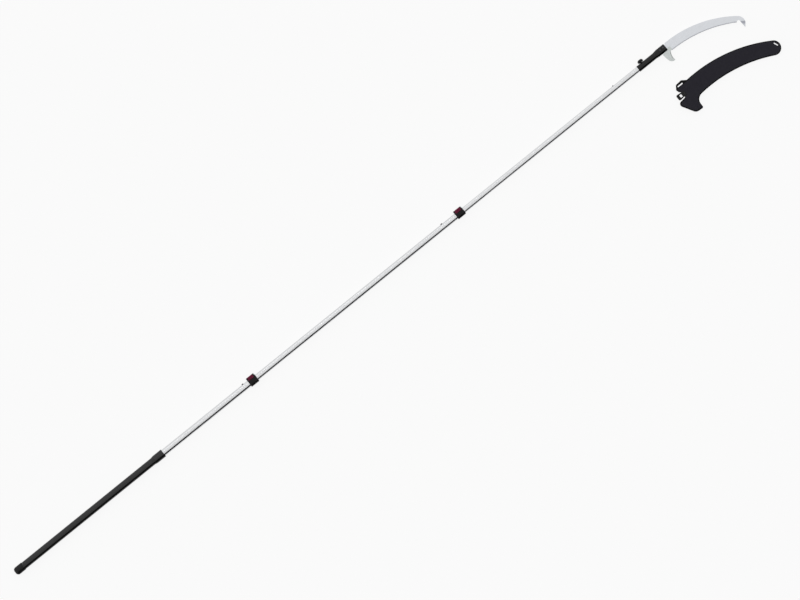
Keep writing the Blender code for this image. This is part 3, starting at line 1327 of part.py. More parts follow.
def make_retaining_loop(front_shell):
    """A rubber loop in front of the mouth, with a tail riveted on the front shell."""
    level = SHEATH_TOP + GAP
    left = LOOP_RIGHT - LOOP_LENGTH
    tail_end = LOOP_RIGHT + LOOP_TAIL
    tail_half = LOOP_WIDTH / 2 - LOOP_TAIL_NARROWING
    ring = rounded([
        (left, -LOOP_WIDTH / 2, LOOP_CORNER),
        (tail_end, -tail_half, LOOP_TAIL_CORNER),
        (tail_end, tail_half, LOOP_TAIL_CORNER),
        (left, LOOP_WIDTH / 2, LOOP_CORNER),
    ])
    hole_left = LOOP_HOLE_X - LOOP_HOLE_LENGTH / 2
    hole_right = LOOP_HOLE_X + LOOP_HOLE_LENGTH / 2
    half = LOOP_HOLE_HEIGHT / 2
    hole = rounded([
        (hole_left, -half, LOOP_HOLE_CORNER),
        (hole_right, -half, LOOP_HOLE_CORNER),
        (hole_right, half, LOOP_HOLE_CORNER),
        (hole_left, half, LOOP_HOLE_CORNER),
    ])
    tail_x = LOOP_RIGHT + LOOP_TAIL / 2
    loop = place(
        "retaining_loop", prism([ring, hole], level, level + LOOP_THICKNESS), sheath,
        (0, -LOOP_DROP, 0), finish=BLACK_RUBBER,
    )
    rivet("loop_rivet", tail_x, -LOOP_DROP, SHEATH_TOP - SHEATH_WALL, level + LOOP_THICKNESS)
    drill_shape = rod(RIVET_RADIUS + GAP, -SHEATH_DEPTH / 2, SHEATH_DEPTH, SMALL_STEPS)
    drill = place("loop_rivet_hole", drill_shape, sheath, (tail_x, -LOOP_DROP, 0))
    cut(loop, drill)
    cut(front_shell, drill, SHELL_SOLVER)


walls = sheath_walls()
mouth = sheath_mouth()
front_shell = make_shell("sheath_front_shell", 1, walls, mouth)
back_shell = make_shell("sheath_back_shell", -1, walls, mouth)
make_sheath_slots((front_shell, back_shell))
make_sheath_rivets((front_shell, back_shell))
make_retaining_loop(front_shell)
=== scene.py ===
# %% [markdown]
# # A telescopic pole saw, dressed for the camera
# The saw lies flat on a pale floor, five metres long: a rubber grip, three oval aluminium tubes
# that slide in each other, two lever clamps, a curved pull saw with a sickle at its heel, and the
# blade's sheath beside it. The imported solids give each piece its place. These cells give it its
# fine shape and its finish.

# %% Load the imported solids
import math

import bmesh
import bpy
from mathutils import Euler, Matrix, Vector


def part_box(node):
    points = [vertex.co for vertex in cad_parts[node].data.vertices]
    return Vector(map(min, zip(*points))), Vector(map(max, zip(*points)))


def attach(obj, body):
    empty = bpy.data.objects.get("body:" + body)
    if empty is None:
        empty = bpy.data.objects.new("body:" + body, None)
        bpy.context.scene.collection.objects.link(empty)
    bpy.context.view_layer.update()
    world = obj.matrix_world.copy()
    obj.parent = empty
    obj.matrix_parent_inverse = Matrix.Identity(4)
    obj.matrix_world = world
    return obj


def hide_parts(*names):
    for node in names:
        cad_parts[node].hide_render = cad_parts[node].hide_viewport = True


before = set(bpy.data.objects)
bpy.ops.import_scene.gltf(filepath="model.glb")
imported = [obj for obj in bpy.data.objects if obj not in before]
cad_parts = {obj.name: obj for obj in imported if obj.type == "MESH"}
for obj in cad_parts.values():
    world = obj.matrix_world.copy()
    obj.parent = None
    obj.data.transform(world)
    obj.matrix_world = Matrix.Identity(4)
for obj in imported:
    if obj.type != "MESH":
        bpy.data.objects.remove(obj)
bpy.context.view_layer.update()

MM = 0.001

# %% [markdown]
# ## Camera
# The saw was photographed from straight above with the pole running up to the right, so the
# picture's right-hand direction is the pole's direction turned by about 39 degrees. A long lens
# from far away keeps a five metre pole straight. An orthographic camera would do too, but a long
# lens is nearer to how such a picture is taken.

# %% The camera over the saw
CAMERA_CENTRE = (2.517, -0.1594)
CAMERA_TURN = -38.94
PICTURE_WIDTH = 4.28
LENS = 200.0
SENSOR = 36.0
FARTHEST_SEEN = 200.0

camera_data = bpy.data.cameras.new("camera_over_the_saw")
camera_data.lens = LENS
camera_data.sensor_width = SENSOR
camera_data.clip_end = FARTHEST_SEEN
camera = bpy.data.objects.new("camera_over_the_saw", camera_data)
bpy.context.scene.collection.objects.link(camera)
camera_height = PICTURE_WIDTH * LENS / SENSOR
camera.location = (*CAMERA_CENTRE, camera_height)
camera.rotation_euler = (0, 0, math.radians(CAMERA_TURN))
bpy.context.scene.camera = camera
bpy.context.scene.view_settings.view_transform = "Standard"
print("camera height in metres:", round(camera_height, 2))

# %% [markdown]
# ## Node helper
# Every material and every Geometry Nodes tree below is wired in code. One small helper makes a
# node, sets its options and fills its inputs, either with a number or with another node's output.

# %% A helper that wires nodes
def fill(tree, socket, value):
    """Set an input to a value, or link another node's output to it."""
    if isinstance(value, bpy.types.NodeSocket):
        tree.links.new(value, socket)
    elif value is not None:
        socket.default_value = value


def add(tree, kind, *given, **named):
    """Make a node. Lower-case names are its options, capitalised names are its inputs."""
    made = tree.nodes.new(kind)
    for label, value in named.items():
        if label[0].islower():
            setattr(made, label, value)
    for socket, value in zip(made.inputs, given):
        fill(tree, socket, value)
    for label, value in named.items():
        if label[0].isupper():
            fill(tree, made.inputs[label.replace("_", " ")], value)
    return made


def sums(tree, operation, *values, clamp=False):
    """One Math node."""
    return add(tree, "ShaderNodeMath", *values, operation=operation, use_clamp=clamp).outputs[0]


def vectors(tree, operation, *values):
    """One Vector Math node."""
    return add(tree, "ShaderNodeVectorMath", *values, operation=operation).outputs


def tint(tree, mask, colour, other):
    """Colour where the mask is 0, the other one where it is 1."""
    mix = add(tree, "ShaderNodeMix", data_type="RGBA")
    for number, value in ((0, mask), (6, colour), (7, other)):
        fill(tree, mix.inputs[number], value)
    return mix.outputs[2]


def between(tree, value, low, high, start=0.0, end=1.0, shape="SMOOTHSTEP"):
    """Maps a value from low..high to start..end."""
    return add(tree, "ShaderNodeMapRange", value, low, high, start, end, interpolation_type=shape).outputs[0]


def rgb(red, green=None, blue=None):
    """A colour, or a grey from one level."""
    return (red, red if green is None else green, red if blue is None else blue, 1.0)


print("helpers ready")

# %% [markdown]
# ## Floor
# A white table is a large plane. For the camera, and in reflections, it is nearly pure white,
# which keeps the saw's soft shadow and loses the corners of the room. For all other light it is a
# middling grey, so it doesn't light the saw from below.

# %% White table
FLOOR_LEVEL, FLOOR_GAP = -0.019, 0.0004
FLOOR_SIZE = 400.0
FLOOR_WHITENESS = 0.885
PAPER, PAPER_SEEN = 0.55, 0.90

floor_mesh = bpy.data.meshes.new("table_top")
shape = bmesh.new()
bmesh.ops.create_grid(shape, x_segments=4, y_segments=4, size=FLOOR_SIZE / 2)
bmesh.ops.translate(shape, verts=shape.verts, vec=(0, 0, FLOOR_LEVEL - FLOOR_GAP))
shape.to_mesh(floor_mesh)
shape.free()
floor = bpy.data.objects.new("table_top", floor_mesh)
bpy.context.scene.collection.objects.link(floor)

paper = bpy.data.materials.new("white_paper")
paper.use_nodes = True
tree = paper.node_tree
tree.nodes.clear()
rays = add(tree, "ShaderNodeLightPath").outputs
mirrored = sums(tree, "MAXIMUM", rays["Is Glossy Ray"], rays["Is Transmission Ray"])
seen = sums(tree, "MAXIMUM", rays["Is Camera Ray"], mirrored)
matt = add(tree, "ShaderNodeBsdfDiffuse", Color=tint(tree, seen, rgb(PAPER), rgb(PAPER_SEEN)))
glow = add(tree, "ShaderNodeEmission", Color=rgb(1.0), Strength=1.0)
share = sums(tree, "MULTIPLY", seen, FLOOR_WHITENESS)
blend = add(tree, "ShaderNodeMixShader", share, matt.outputs[0], glow.outputs[0])
add(tree, "ShaderNodeOutputMaterial", blend.outputs[0])
floor_mesh.materials.append(paper)
print("table size in metres:", FLOOR_SIZE)

# %% [markdown]
# ## Light
# The tubes in the photograph have a light top and one dark line along the teeth side: that is a
# dark part of the studio, mirrored in the round flank. So the world is bright, with one dark patch
# low on that side. A large soft sun comes from the spine side, and a smaller one from overhead
# draws the line on the black head.

# %% The room's light
DARK_HEIGHT = math.radians(22)
DARK_SIDE = (0, -math.cos(DARK_HEIGHT), math.sin(DARK_HEIGHT))
DARK_EDGE = (0.58, 0.70)
ROOM_BRIGHTNESS = 0.86
LAMP_DISTANCE = 5.0

world = bpy.data.worlds.new("studio")
world.use_nodes = True
bpy.context.scene.world = world
tree = world.node_tree
tree.nodes.clear()
direction = add(tree, "ShaderNodeTexCoord").outputs["Generated"]
towards = vectors(tree, "DOT_PRODUCT", direction, DARK_SIDE)["Value"]
darkness = between(tree, towards, *DARK_EDGE)
brightness = between(tree, darkness, 0.0, 1.0, ROOM_BRIGHTNESS, 0.0, shape="LINEAR")
rays = add(tree, "ShaderNodeLightPath").outputs
strength = add(tree, "ShaderNodeMix", rays["Is Camera Ray"], None, brightness, 1.0)
room = add(tree, "ShaderNodeBackground", rgb(1.0), strength.outputs[0])
add(tree, "ShaderNodeOutputWorld", room.outputs[0])


def soft_sun(name, azimuth, elevation, strength, spread):
    """A lamp far away, round the saw by azimuth from the spine side, with a soft edge."""
    lamp = bpy.data.lights.new(name, "SUN")
    lamp.energy = strength
    lamp.angle = math.radians(spread)
    holder = bpy.data.objects.new(name, lamp)
    bpy.context.scene.collection.objects.link(holder)
    turn, rise = math.radians(azimuth), math.radians(elevation)
    towards_lamp = Vector((math.sin(turn) * math.cos(rise), math.cos(turn) * math.cos(rise), math.sin(rise)))
    holder.rotation_euler = (-towards_lamp).to_track_quat("-Z", "Y").to_euler()
    holder.location = towards_lamp * LAMP_DISTANCE


soft_sun("key_lamp", azimuth=-12, elevation=38, strength=0.20, spread=70)
soft_sun("top_lamp", azimuth=0, elevation=80, strength=0.045, spread=4)

# %% [markdown]
# ## Effects that several finishes share
# Each is a node group that reads the piece's own Object coordinates, which are metres in this
# scene. "grain" is noise that can be drawn out along the pole, as on an extruded tube or a ground
# blade. "edge_wear" finds edges by comparing the true normal with a rounded one, so it
# works on any mesh; the lighter colour laid there is partly wear and partly a painted highlight.
# "smudges" is the slow, uneven gloss that handling leaves.

# %% Node groups
NUMBER = "NodeSocketFloat"
PATCH_EDGES, CLOUD_EDGES = (0.38, 0.62), (0.3, 0.7)


def effect(name, inputs, output):
    """An empty node group with named inputs, given with their usual values, and one output."""
    tree = bpy.data.node_groups.new(name, "ShaderNodeTree")
    for label, value in inputs.items():
        kind = "NodeSocketVector" if isinstance(value, tuple) else NUMBER
        tree.interface.new_socket(label, in_out="INPUT", socket_type=kind).default_value = value
    tree.interface.new_socket(output, in_out="OUTPUT", socket_type=NUMBER)
    return tree, tree.nodes.new("NodeGroupInput").outputs, tree.nodes.new("NodeGroupOutput").inputs[0]


def own_place(tree, stretch=None):
    """The piece's own coordinates, drawn out if a stretch is given."""
    place = add(tree, "ShaderNodeTexCoord").outputs["Object"]
    return place if stretch is None else vectors(tree, "MULTIPLY", place, stretch)[0]


def stretched_noise(tree, stretch, scale, detail, roughness=0.55):
    place = own_place(tree, stretch)
    noise = add(tree, "ShaderNodeTexNoise", Vector=place, Scale=scale, Detail=detail, Roughness=roughness)
    return noise.outputs[0]


grain_group, given, result = effect(
    "grain", {"Stretch": (1, 1, 1), "Scale": 400.0, "Detail": 4.0, "Contrast": 1.0}, "Value")
noise = stretched_noise(grain_group, given["Stretch"], given["Scale"], given["Detail"])
scaled = sums(grain_group, "MULTIPLY", sums(grain_group, "SUBTRACT", noise, 0.5), given["Contrast"])
grain_group.links.new(sums(grain_group, "ADD", scaled, 0.5, clamp=True), result)

# A mask of the edges, in patches: the lighter colour laid there is partly wear and partly a painted highlight
# along the edges.
wear_and_highlight_group, given, result = effect(
    "edge_wear", {"Radius": 0.0006, "Amount": 4.0, "Patch Scale": 120.0}, "Mask")
soft = add(wear_and_highlight_group, "ShaderNodeBevel", given["Radius"], samples=4).outputs[0]
true = add(wear_and_highlight_group, "ShaderNodeNewGeometry").outputs["Normal"]
same = vectors(wear_and_highlight_group, "DOT_PRODUCT", soft, true)["Value"]
edge = sums(wear_and_highlight_group, "MULTIPLY", sums(wear_and_highlight_group, "SUBTRACT", 1.0, same), given["Amount"])
blots = stretched_noise(wear_and_highlight_group, (1, 1, 1), given["Patch Scale"], 5.0)
patches = between(wear_and_highlight_group, blots, *PATCH_EDGES)
wear_and_highlight_group.links.new(sums(wear_and_highlight_group, "MULTIPLY", edge, patches, clamp=True), result)

smudge_group, given, result = effect("smudges", {"Scale": 30.0, "Low": 0.3, "High": 0.5}, "Roughness")
cloud = stretched_noise(smudge_group, (1, 1, 1), given["Scale"], 6.0, 0.65)
gloss = between(smudge_group, cloud, *CLOUD_EDGES, given["Low"], given["High"], shape="LINEAR")
smudge_group.links.new(gloss, result)


def use(tree, group, **inputs):
    """Place an effect in a material with its own values."""
    made = tree.nodes.new("ShaderNodeGroup")
    made.node_tree = group
    for label, value in inputs.items():
        made.inputs[label.replace("_", " ")].default_value = value
    return made.outputs[0]


print("effects:", [g.name for g in bpy.data.node_groups])

# %% [markdown]
# ## Finishes
# One function lays the common ground of a finish: two close colours mixed by grain, lighter edges
# that are partly wear and partly a painted highlight, uneven gloss, and a fine relief. Each finish
# then gets its own values, and some get a pattern of their own. The colours are close to what the
# photograph shows, since the light is at a plain level.

# %% The common ground of a finish
RELIEF_CONTRAST = 1.5


def finish(name, colour, other, metallic=0.0, gloss=(0.3, 0.5), grain=(400, 1.0), stretch=(1, 1, 1),
           relief=(1200, 0.00002), relief_stretch=(1, 1, 1), worn_and_highlit_edge=None, wear_and_highlight=(0.0006, 4.0), specular=0.5,
           smudge=30.0):
    """A material from two colours, its gloss range, grain (scale, contrast) and relief (scale, height)."""
    material = bpy.data.materials.new(name)
    material.use_nodes = True
    tree = material.node_tree
    shader = tree.nodes["Principled BSDF"].inputs
    shader["Metallic"].default_value = metallic
    shader["Specular IOR Level"].default_value = specular
    mottled = use(tree, grain_group, Stretch=stretch, Scale=grain[0], Contrast=grain[1])
    base = tint(tree, mottled, colour, other)
    # Lighter edge colour: partly wear, partly a painted highlight along the edges.
    if worn_and_highlit_edge is not None:
        base = tint(tree, use(tree, wear_and_highlight_group, Radius=wear_and_highlight[0], Amount=wear_and_highlight[1]), base, worn_and_highlit_edge)
    fill(tree, shader["Base Color"], base)
    fill(tree, shader["Roughness"], use(tree, smudge_group, Scale=smudge, Low=gloss[0], High=gloss[1]))
    height = use(tree, grain_group, Stretch=relief_stretch, Scale=relief[0], Contrast=RELIEF_CONTRAST)
    bump = add(tree, "ShaderNodeBump", Strength=1.0, Distance=relief[1], Height=height)
    fill(tree, shader["Normal"], bump.outputs[0])
    return material


def recolour(material, mask, colour):
    """Lay one more colour over a finish."""
    tree = material.node_tree
    socket = tree.nodes["Principled BSDF"].inputs["Base Color"]
    fill(tree, socket, tint(tree, mask, socket.links[0].from_socket, colour))


def distance_from(tree, centre):
    """Distance in plan from a point."""
    x, y, _ = add(tree, "ShaderNodeSeparateXYZ", own_place(tree)).outputs
    along = sums(tree, "SUBTRACT", x, centre[0])
    across = sums(tree, "SUBTRACT", y, centre[1])
    squares = sums(tree, "ADD", sums(tree, "MULTIPLY", along, along), sums(tree, "MULTIPLY", across, across))
    return sums(tree, "SQRT", squares)


print("finish helper ready")

# %% [markdown]
# ### Aluminium
# The tubes are drawn and anodised: silver, satin, with long lines that run with the pole and a
# few darker die lines. The long lines are noise and the die lines a wave texture, both with the X
# coordinate shrunk fifty times.

# %% Anodised aluminium
aluminium = finish(
    "anodised_aluminium", rgb(0.66, 0.665, 0.68), rgb(0.80, 0.805, 0.81), metallic=1.0,
    gloss=(0.20, 0.30), grain=(260, 1.6), stretch=(0.02, 1, 1), relief=(1400, 0.00001),
    relief_stretch=(0.01, 1, 1), worn_and_highlit_edge=rgb(0.88), smudge=14,
)
tree = aluminium.node_tree
waves = add(tree, "ShaderNodeTexWave", own_place(tree, (0.02, 1, 1)), Scale=33.0, Distortion=0.4, Detail=1.0,
            Detail_Scale=3.0, wave_type="BANDS", bands_direction="Y")
die_lines = between(tree, waves.outputs[1], 0.72, 1.0, 0.0, 0.45)
recolour(aluminium, die_lines, rgb(0.46, 0.465, 0.48))
print("tube finish:", aluminium.name)

# %% [markdown]
# ### Blade steels
# The saw's plate is ground lengthwise and bright, with a darker band where the teeth were
# hardened. The band follows the tooth line, so its mask is the distance from the tooth arc's
# centre. The sickle is a duller, slightly green grey, and its hollow edge is darker, with grinding
# lines across it.

# %% Steels
HEAD_X = 4284.5 * MM
BLADE_CENTRE_X = HEAD_X + 205.0 * MM
TOOTH_ARC_RADIUS = 697.0 * MM
TOOTH_CREST = 36.2 * MM
TOOTH_CENTRE = (BLADE_CENTRE_X, -TOOTH_CREST - TOOTH_ARC_RADIUS)
HARD_TO, HARD_FROM, HARDNESS = 9.0 * MM, 3.5 * MM, 0.85
HOOK_FROM, HOOK_TO, HOOK_SHARE = -14.0 * MM, -2.0 * MM, 0.35
WOBBLE = 1.6 * MM

blade_steel = finish(
    "blade_steel", rgb(0.66, 0.68, 0.715), rgb(0.76, 0.775, 0.805), metallic=1.0, gloss=(0.26, 0.36),
    grain=(500, 1.4), stretch=(0.06, 1, 1), relief=(2200, 0.000006), relief_stretch=(0.05, 1, 1),
    worn_and_highlit_edge=rgb(0.90, 0.90, 0.92), wear_and_highlight=(0.0004, 3.0), smudge=40,
)
tree = blade_steel.node_tree
wobble = sums(tree, "MULTIPLY", use(tree, grain_group, Scale=140.0, Contrast=1.2), WOBBLE)
from_arc = sums(tree, "ADD", distance_from(tree, TOOTH_CENTRE), wobble)
band = between(tree, from_arc, TOOTH_ARC_RADIUS + HARD_TO, TOOTH_ARC_RADIUS + HARD_FROM, 0.0, HARDNESS)
past_hook = between(tree, from_arc, TOOTH_ARC_RADIUS + HOOK_FROM, TOOTH_ARC_RADIUS + HOOK_TO, HOOK_SHARE, 1.0)
recolour(blade_steel, sums(tree, "MULTIPLY", band, past_hook), rgb(0.33, 0.34, 0.39))

sickle_steel = finish(
    "sickle_steel", rgb(0.57, 0.605, 0.595), rgb(0.67, 0.70, 0.69), metallic=1.0, gloss=(0.32, 0.44),
    grain=(420, 1.3), stretch=(1, 0.12, 1), relief=(1800, 0.00001), relief_stretch=(1, 0.1, 1),
    worn_and_highlit_edge=rgb(0.80, 0.82, 0.81), smudge=60,
)
ground_edge = finish(
    "ground_edge", rgb(0.38, 0.40, 0.385), rgb(0.50, 0.52, 0.505), metallic=1.0, gloss=(0.22, 0.34),
    grain=(900, 1.6), stretch=(0.15, 1, 1), relief=(2600, 0.000008), relief_stretch=(0.1, 1, 1), smudge=90,
)
dark_steel = finish(
    "dark_steel", rgb(0.045, 0.045, 0.05), rgb(0.09, 0.09, 0.095), metallic=1.0, gloss=(0.3, 0.45),
    worn_and_highlit_edge=rgb(0.42, 0.42, 0.43), wear_and_highlight=(0.0005, 5.0), smudge=200,
)
spring_steel = finish(
    "spring_steel", rgb(0.30, 0.30, 0.31), rgb(0.42, 0.41, 0.40), metallic=1.0, gloss=(0.3, 0.42),
    stretch=(0.1, 1, 1), smudge=150,
)
print("hardened band in mm:", HARD_TO / MM)

# %% [markdown]
# ### Rubber and plastic
# The grip is charcoal rubber with a fine pebble and a slight sheen. The cap is blacker and more
# matt. Clamps and knob are black moulded plastic with greyed edges, partly wear and partly a painted
# highlight, the head a smoother black enamel, the levers a dark maroon, and the sheath a bluish
# charcoal with a blacker rim.

# %% Rubbers and plastics
grip_rubber = finish(
    "grip_rubber", rgb(0.0030, 0.0030, 0.0032), rgb(0.0065, 0.0065, 0.0067), gloss=(0.22, 0.32),
    grain=(90, 1.6), relief=(900, 0.00003), worn_and_highlit_edge=rgb(0.06, 0.06, 0.062), wear_and_highlight=(0.0008, 3.0), specular=0.48,
)
black_rubber = finish(
    "black_rubber", rgb(0.0020, 0.0020, 0.0023), rgb(0.0045, 0.0045, 0.0050), gloss=(0.38, 0.52),
    grain=(120, 1.4), relief=(1500, 0.00003), worn_and_highlit_edge=rgb(0.04), specular=0.3,
)
black_plastic = finish(
    "black_plastic", rgb(0.0015, 0.0015, 0.0017), rgb(0.0040, 0.0040, 0.0044), gloss=(0.20, 0.32),
    grain=(200, 1.4), relief=(2400, 0.00001), worn_and_highlit_edge=rgb(0.05, 0.05, 0.055), wear_and_highlight=(0.0007, 4.0),
    specular=0.2, smudge=80,
)
black_enamel = finish(
    "black_enamel", rgb(0.0012, 0.0012, 0.0014), rgb(0.0028, 0.0028, 0.0031), gloss=(0.10, 0.16),
    grain=(200, 1.4), relief=(1800, 0.00001), worn_and_highlit_edge=rgb(0.06, 0.06, 0.065), wear_and_highlight=(0.0007, 4.0),
    specular=0.36, smudge=60,
)
grey_plastic = finish(
    "grey_plastic", rgb(0.05, 0.05, 0.053), rgb(0.08, 0.08, 0.084), gloss=(0.42, 0.56),
    relief=(2000, 0.00002), worn_and_highlit_edge=rgb(0.16, 0.16, 0.17), specular=0.35,
)
red_plastic = finish(
    "maroon_plastic", rgb(0.105, 0.002, 0.022), rgb(0.150, 0.004, 0.034), gloss=(0.34, 0.46),
    grain=(160, 1.4), relief=(2400, 0.00002), worn_and_highlit_edge=rgb(0.24, 0.03, 0.08), wear_and_highlight=(0.0006, 3.0),
    specular=0.2, smudge=90,
)
sheath_plastic = finish(
    "sheath_plastic", rgb(0.0115, 0.0105, 0.0175), rgb(0.0165, 0.0150, 0.0245), gloss=(0.40, 0.54),
    grain=(70, 1.5), relief=(1300, 0.00004), worn_and_highlit_edge=rgb(0.05, 0.05, 0.062), wear_and_highlight=(0.0010, 3.0), specular=0.2,
)
sheath_rim = finish(
    "sheath_rim", rgb(0.0010, 0.0010, 0.0012), rgb(0.0028, 0.0028, 0.0032), gloss=(0.34, 0.46),
    grain=(120, 1.4), relief=(1600, 0.00002), worn_and_highlit_edge=rgb(0.03, 0.03, 0.034), specular=0.12,
)
print("finishes:", len([m for m in bpy.data.materials if m.use_nodes]))

# %% [markdown]
# ## Solids that stay
# The tubes' end bushes, the springs, the brake pads and the knob's stud lie inside the saw, where no
# picture shows them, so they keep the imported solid. Each solid gets its finish by a word in its
# name, the longest one that fits. The pieces that are drawn again below take their solid's place.

# %% Finishes on the solids that stay
SOLID_FINISHES = {
    "tube": aluminium, "blade": blade_steel, "sickle": sickle_steel, "sheath": sheath_plastic,
    "grip_sleeve": grip_rubber, "butt_cap": black_rubber, "retaining_loop": black_rubber,
    "brake_pad": black_rubber, "clamp_lever": red_plastic, "bush": grey_plastic, "spring": spring_steel,
    "rivet": dark_steel, "bolt": dark_steel, "nut": dark_steel, "pin": dark_steel, "screw": dark_steel,
    "stud": dark_steel,
}
for name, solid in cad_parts.items():
    words = [word for word in SOLID_FINISHES if word in name]
    longest = max(words, key=len) if words else None
    solid.data.materials.clear()
    solid.data.materials.append(SOLID_FINISHES[longest] if longest else black_plastic)
print("plain black solids:", [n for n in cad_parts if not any(w in n for w in SOLID_FINISHES)])

# %% [markdown]
# ## Outlines and solids
# Most pieces are flat outlines with radiused corners that are pulled thick, or rings of points
# with a skin over them. These helpers draw such outlines as points, and turn them into meshes
# that already lie where they belong, so that every object stays at the origin.

# %% Flat outlines
INSET_SLACK = 0.05 * MM


def bearing(centre, point):
    """Heading from one point to another."""
    return math.atan2(point[1] - centre[1], point[0] - centre[0])


def bend(into, out):
    """The turn from one heading to another, left is positive."""
    return (out - into + math.pi) % math.tau - math.pi


def on_circle(centre, radius, angle):
    return (centre[0] + radius * math.cos(angle), centre[1] + radius * math.sin(angle))


def arc(centre, radius, start, end, steps):
    """Points on a circle between two angles in radians, ends included."""
    return [on_circle(centre, radius, start + (end - start) * step / steps) for step in range(steps + 1)]


def circle(radius, steps=40):
    return arc((0, 0), radius, 0, math.tau * (1 - 1 / steps), steps - 1)


def quarter_turn(steps, first=0):
    """The sine and cosine at equal steps of a quarter turn."""
    angles = [math.pi / 2 * step / steps for step in range(first, steps + 1)]
    return [(math.sin(angle), math.cos(angle)) for angle in angles]


def ease(share):
    """From 0 to 1, slow at both ends."""
    return (1 - math.cos(math.pi * share)) / 2


def crowned(radius, top, rounding, steps=5):
    """Profile of a flat-topped head with a rounded edge, from its axis out to its side."""
    return [(0, top)] + arc((radius - rounding, top - rounding), rounding, math.pi / 2, 0, steps)


def rounded(corners, closed=True, steps=8):
    """A chain of straight lines with a radius at each corner, given as (x, y, radius)."""
    points = []
    last = len(corners) - 1
    for index, (x, y, radius) in enumerate(corners):
        if radius == 0 or (not closed and index in (0, last)):
            points.append((x, y))
            continue
        into = bearing(corners[index - 1], (x, y))
        turn = bend(into, bearing((x, y), corners[(index + 1) % len(corners)]))
        side = math.copysign(1, turn)
        setback = radius * math.tan(abs(turn) / 2)
        start = (x - setback * math.cos(into), y - setback * math.sin(into))
        centre = (start[0] - side * radius * math.sin(into), start[1] + side * radius * math.cos(into))
        first = into - side * math.pi / 2
        points += arc(centre, radius, first, first + turn, steps)
    return points


def bow(start, end, radius, steps):
    """An arc between two points that bends left, or right if its radius is negative."""
    dx, dy = end[0] - start[0], end[1] - start[1]
    half = math.hypot(dx, dy) / 2
    side = math.copysign(1, radius)
    rise = side * math.sqrt(radius ** 2 - half ** 2) / (2 * half)
    centre = ((start[0] + end[0]) / 2 - rise * dy, (start[1] + end[1]) / 2 + rise * dx)
    first = bearing(centre, start)
    return arc(centre, abs(radius), first, first + side * 2 * math.asin(half / abs(radius)), steps)


def slot_outline(length, width):
    """A slot with round ends, along x."""
    reach = (length - width) / 2
    right = arc((reach, 0), width / 2, -math.pi / 2, math.pi / 2, 10)
    return right + arc((-reach, 0), width / 2, math.pi / 2, 3 * math.pi / 2, 10)


def distance_to_path(point, path):
    """Shortest distance from a point to an open chain of lines."""
    best = math.inf
    for (ax, ay), (bx, by) in zip(path, path[1:]):
        dx, dy = bx - ax, by - ay
        share = ((point[0] - ax) * dx + (point[1] - ay) * dy) / (dx * dx + dy * dy)
        share = min(1.0, max(0.0, share))
        best = min(best, math.hypot(point[0] - ax - share * dx, point[1] - ay - share * dy))
    return best


def moved_right(point, into, out, distance):
    """A corner between two headings, moved to the right of both."""
    half_turn = bend(into, out) / 2
    reach = distance / math.cos(half_turn)
    return (point[0] + reach * math.sin(into + half_turn), point[1] - reach * math.cos(into + half_turn))


def inset_path(path, distance):
    """An open chain moved to its right, without the loops that tight bends make."""
    points = []
    last = len(path) - 1
    for index, here in enumerate(path):
        into = bearing(path[max(index, 1) - 1], path[max(index, 1)])
        out = bearing(path[min(index, last - 1)], path[min(index, last - 1) + 1])
        point = moved_right(here, into, out, distance)
        if distance_to_path(point, path) > distance - INSET_SLACK:
            points.append(point)
    return points


print("a 10 mm circle has", len(circle(10 * MM)), "points")

# %% [markdown]
# ## The pole's section
# The tubes are flat ovals, so they can't twist in each other. Each slides with a small gap in the
# next, and the insides of the grip, the clamps and the head follow the same ovals, so all these
# sizes come from the outer tube's width and height.

# %% The oval that the whole pole is made of
OVAL_STEPS = 16


def oval_outline(size, grow=0.0, shift=0.0):
    """Two half circles joined by flats, a distance outside the given (width, height), as (y, z) points."""
    radius = (size[1] + 2 * grow) / 2
    reach = (size[0] + 2 * grow) / 2 - radius
    points = []
    for side in (1, -1):
        for angle in (math.pi * (step / OVAL_STEPS - 0.5) for step in range(OVAL_STEPS + 1)):
            across = side * (reach + radius * math.cos(angle))
            points.append((shift + across, side * radius * math.sin(angle)))
    return points


def ring(x, size, grow=0.0, shift=0.0):
    """An oval across the pole at x."""
    return [(x, y, z) for y, z in oval_outline(size, grow, shift)]


def shrink(size, amount):
    return (size[0] - 2 * amount, size[1] - 2 * amount)


SLIDE_GAP = 0.4 * MM
GAP = 0.3 * MM
BASE = (37.4 * MM, 28.4 * MM)
BASE_WALL, MIDDLE_WALL, TOP_WALL = 1.4 * MM, 1.3 * MM, 1.3 * MM
MIDDLE = shrink(BASE, BASE_WALL + SLIDE_GAP)
TOP = shrink(MIDDLE, MIDDLE_WALL + SLIDE_GAP)
print("tube ovals in mm:", [[round(v / MM, 1) for v in size] for size in (BASE, MIDDLE, TOP)])

# %% [markdown]
# ## Solids
# A prism is an outline pulled thick, a loft is a skin through rings, and a lathe is a profile
# turned round. The lathe can dent its rings into lobes, which makes the head knob.

# %% Solids
ALONG_POLE = (90, 0, 90)
TO_SPINE = (-90, 0, 0)
TO_TEETH = (90, 0, 0)
SAME_POINT = 0.001 * MM


def turn_and_move(angles=(0, 0, 0), place=(0, 0, 0)):
    return Matrix.Translation(place) @ Euler([math.radians(angle) for angle in angles]).to_matrix().to_4x4()


def new_piece(name, shape, place=None):
    """Turn a bmesh into an object at the origin, with its place in its mesh."""
    if place is not None:
        bmesh.ops.transform(shape, matrix=place, verts=shape.verts)
    bmesh.ops.recalc_face_normals(shape, faces=shape.faces)
    mesh = bpy.data.meshes.new(name)
    shape.to_mesh(mesh)
    shape.free()
    piece = bpy.data.objects.new(name, mesh)
    bpy.context.scene.collection.objects.link(piece)
    return piece


def plain_mesh(holder):
    """The object's mesh with its modifiers applied."""
    view = bpy.context.evaluated_depsgraph_get()
    return bpy.data.meshes.new_from_object(holder.evaluated_get(view))


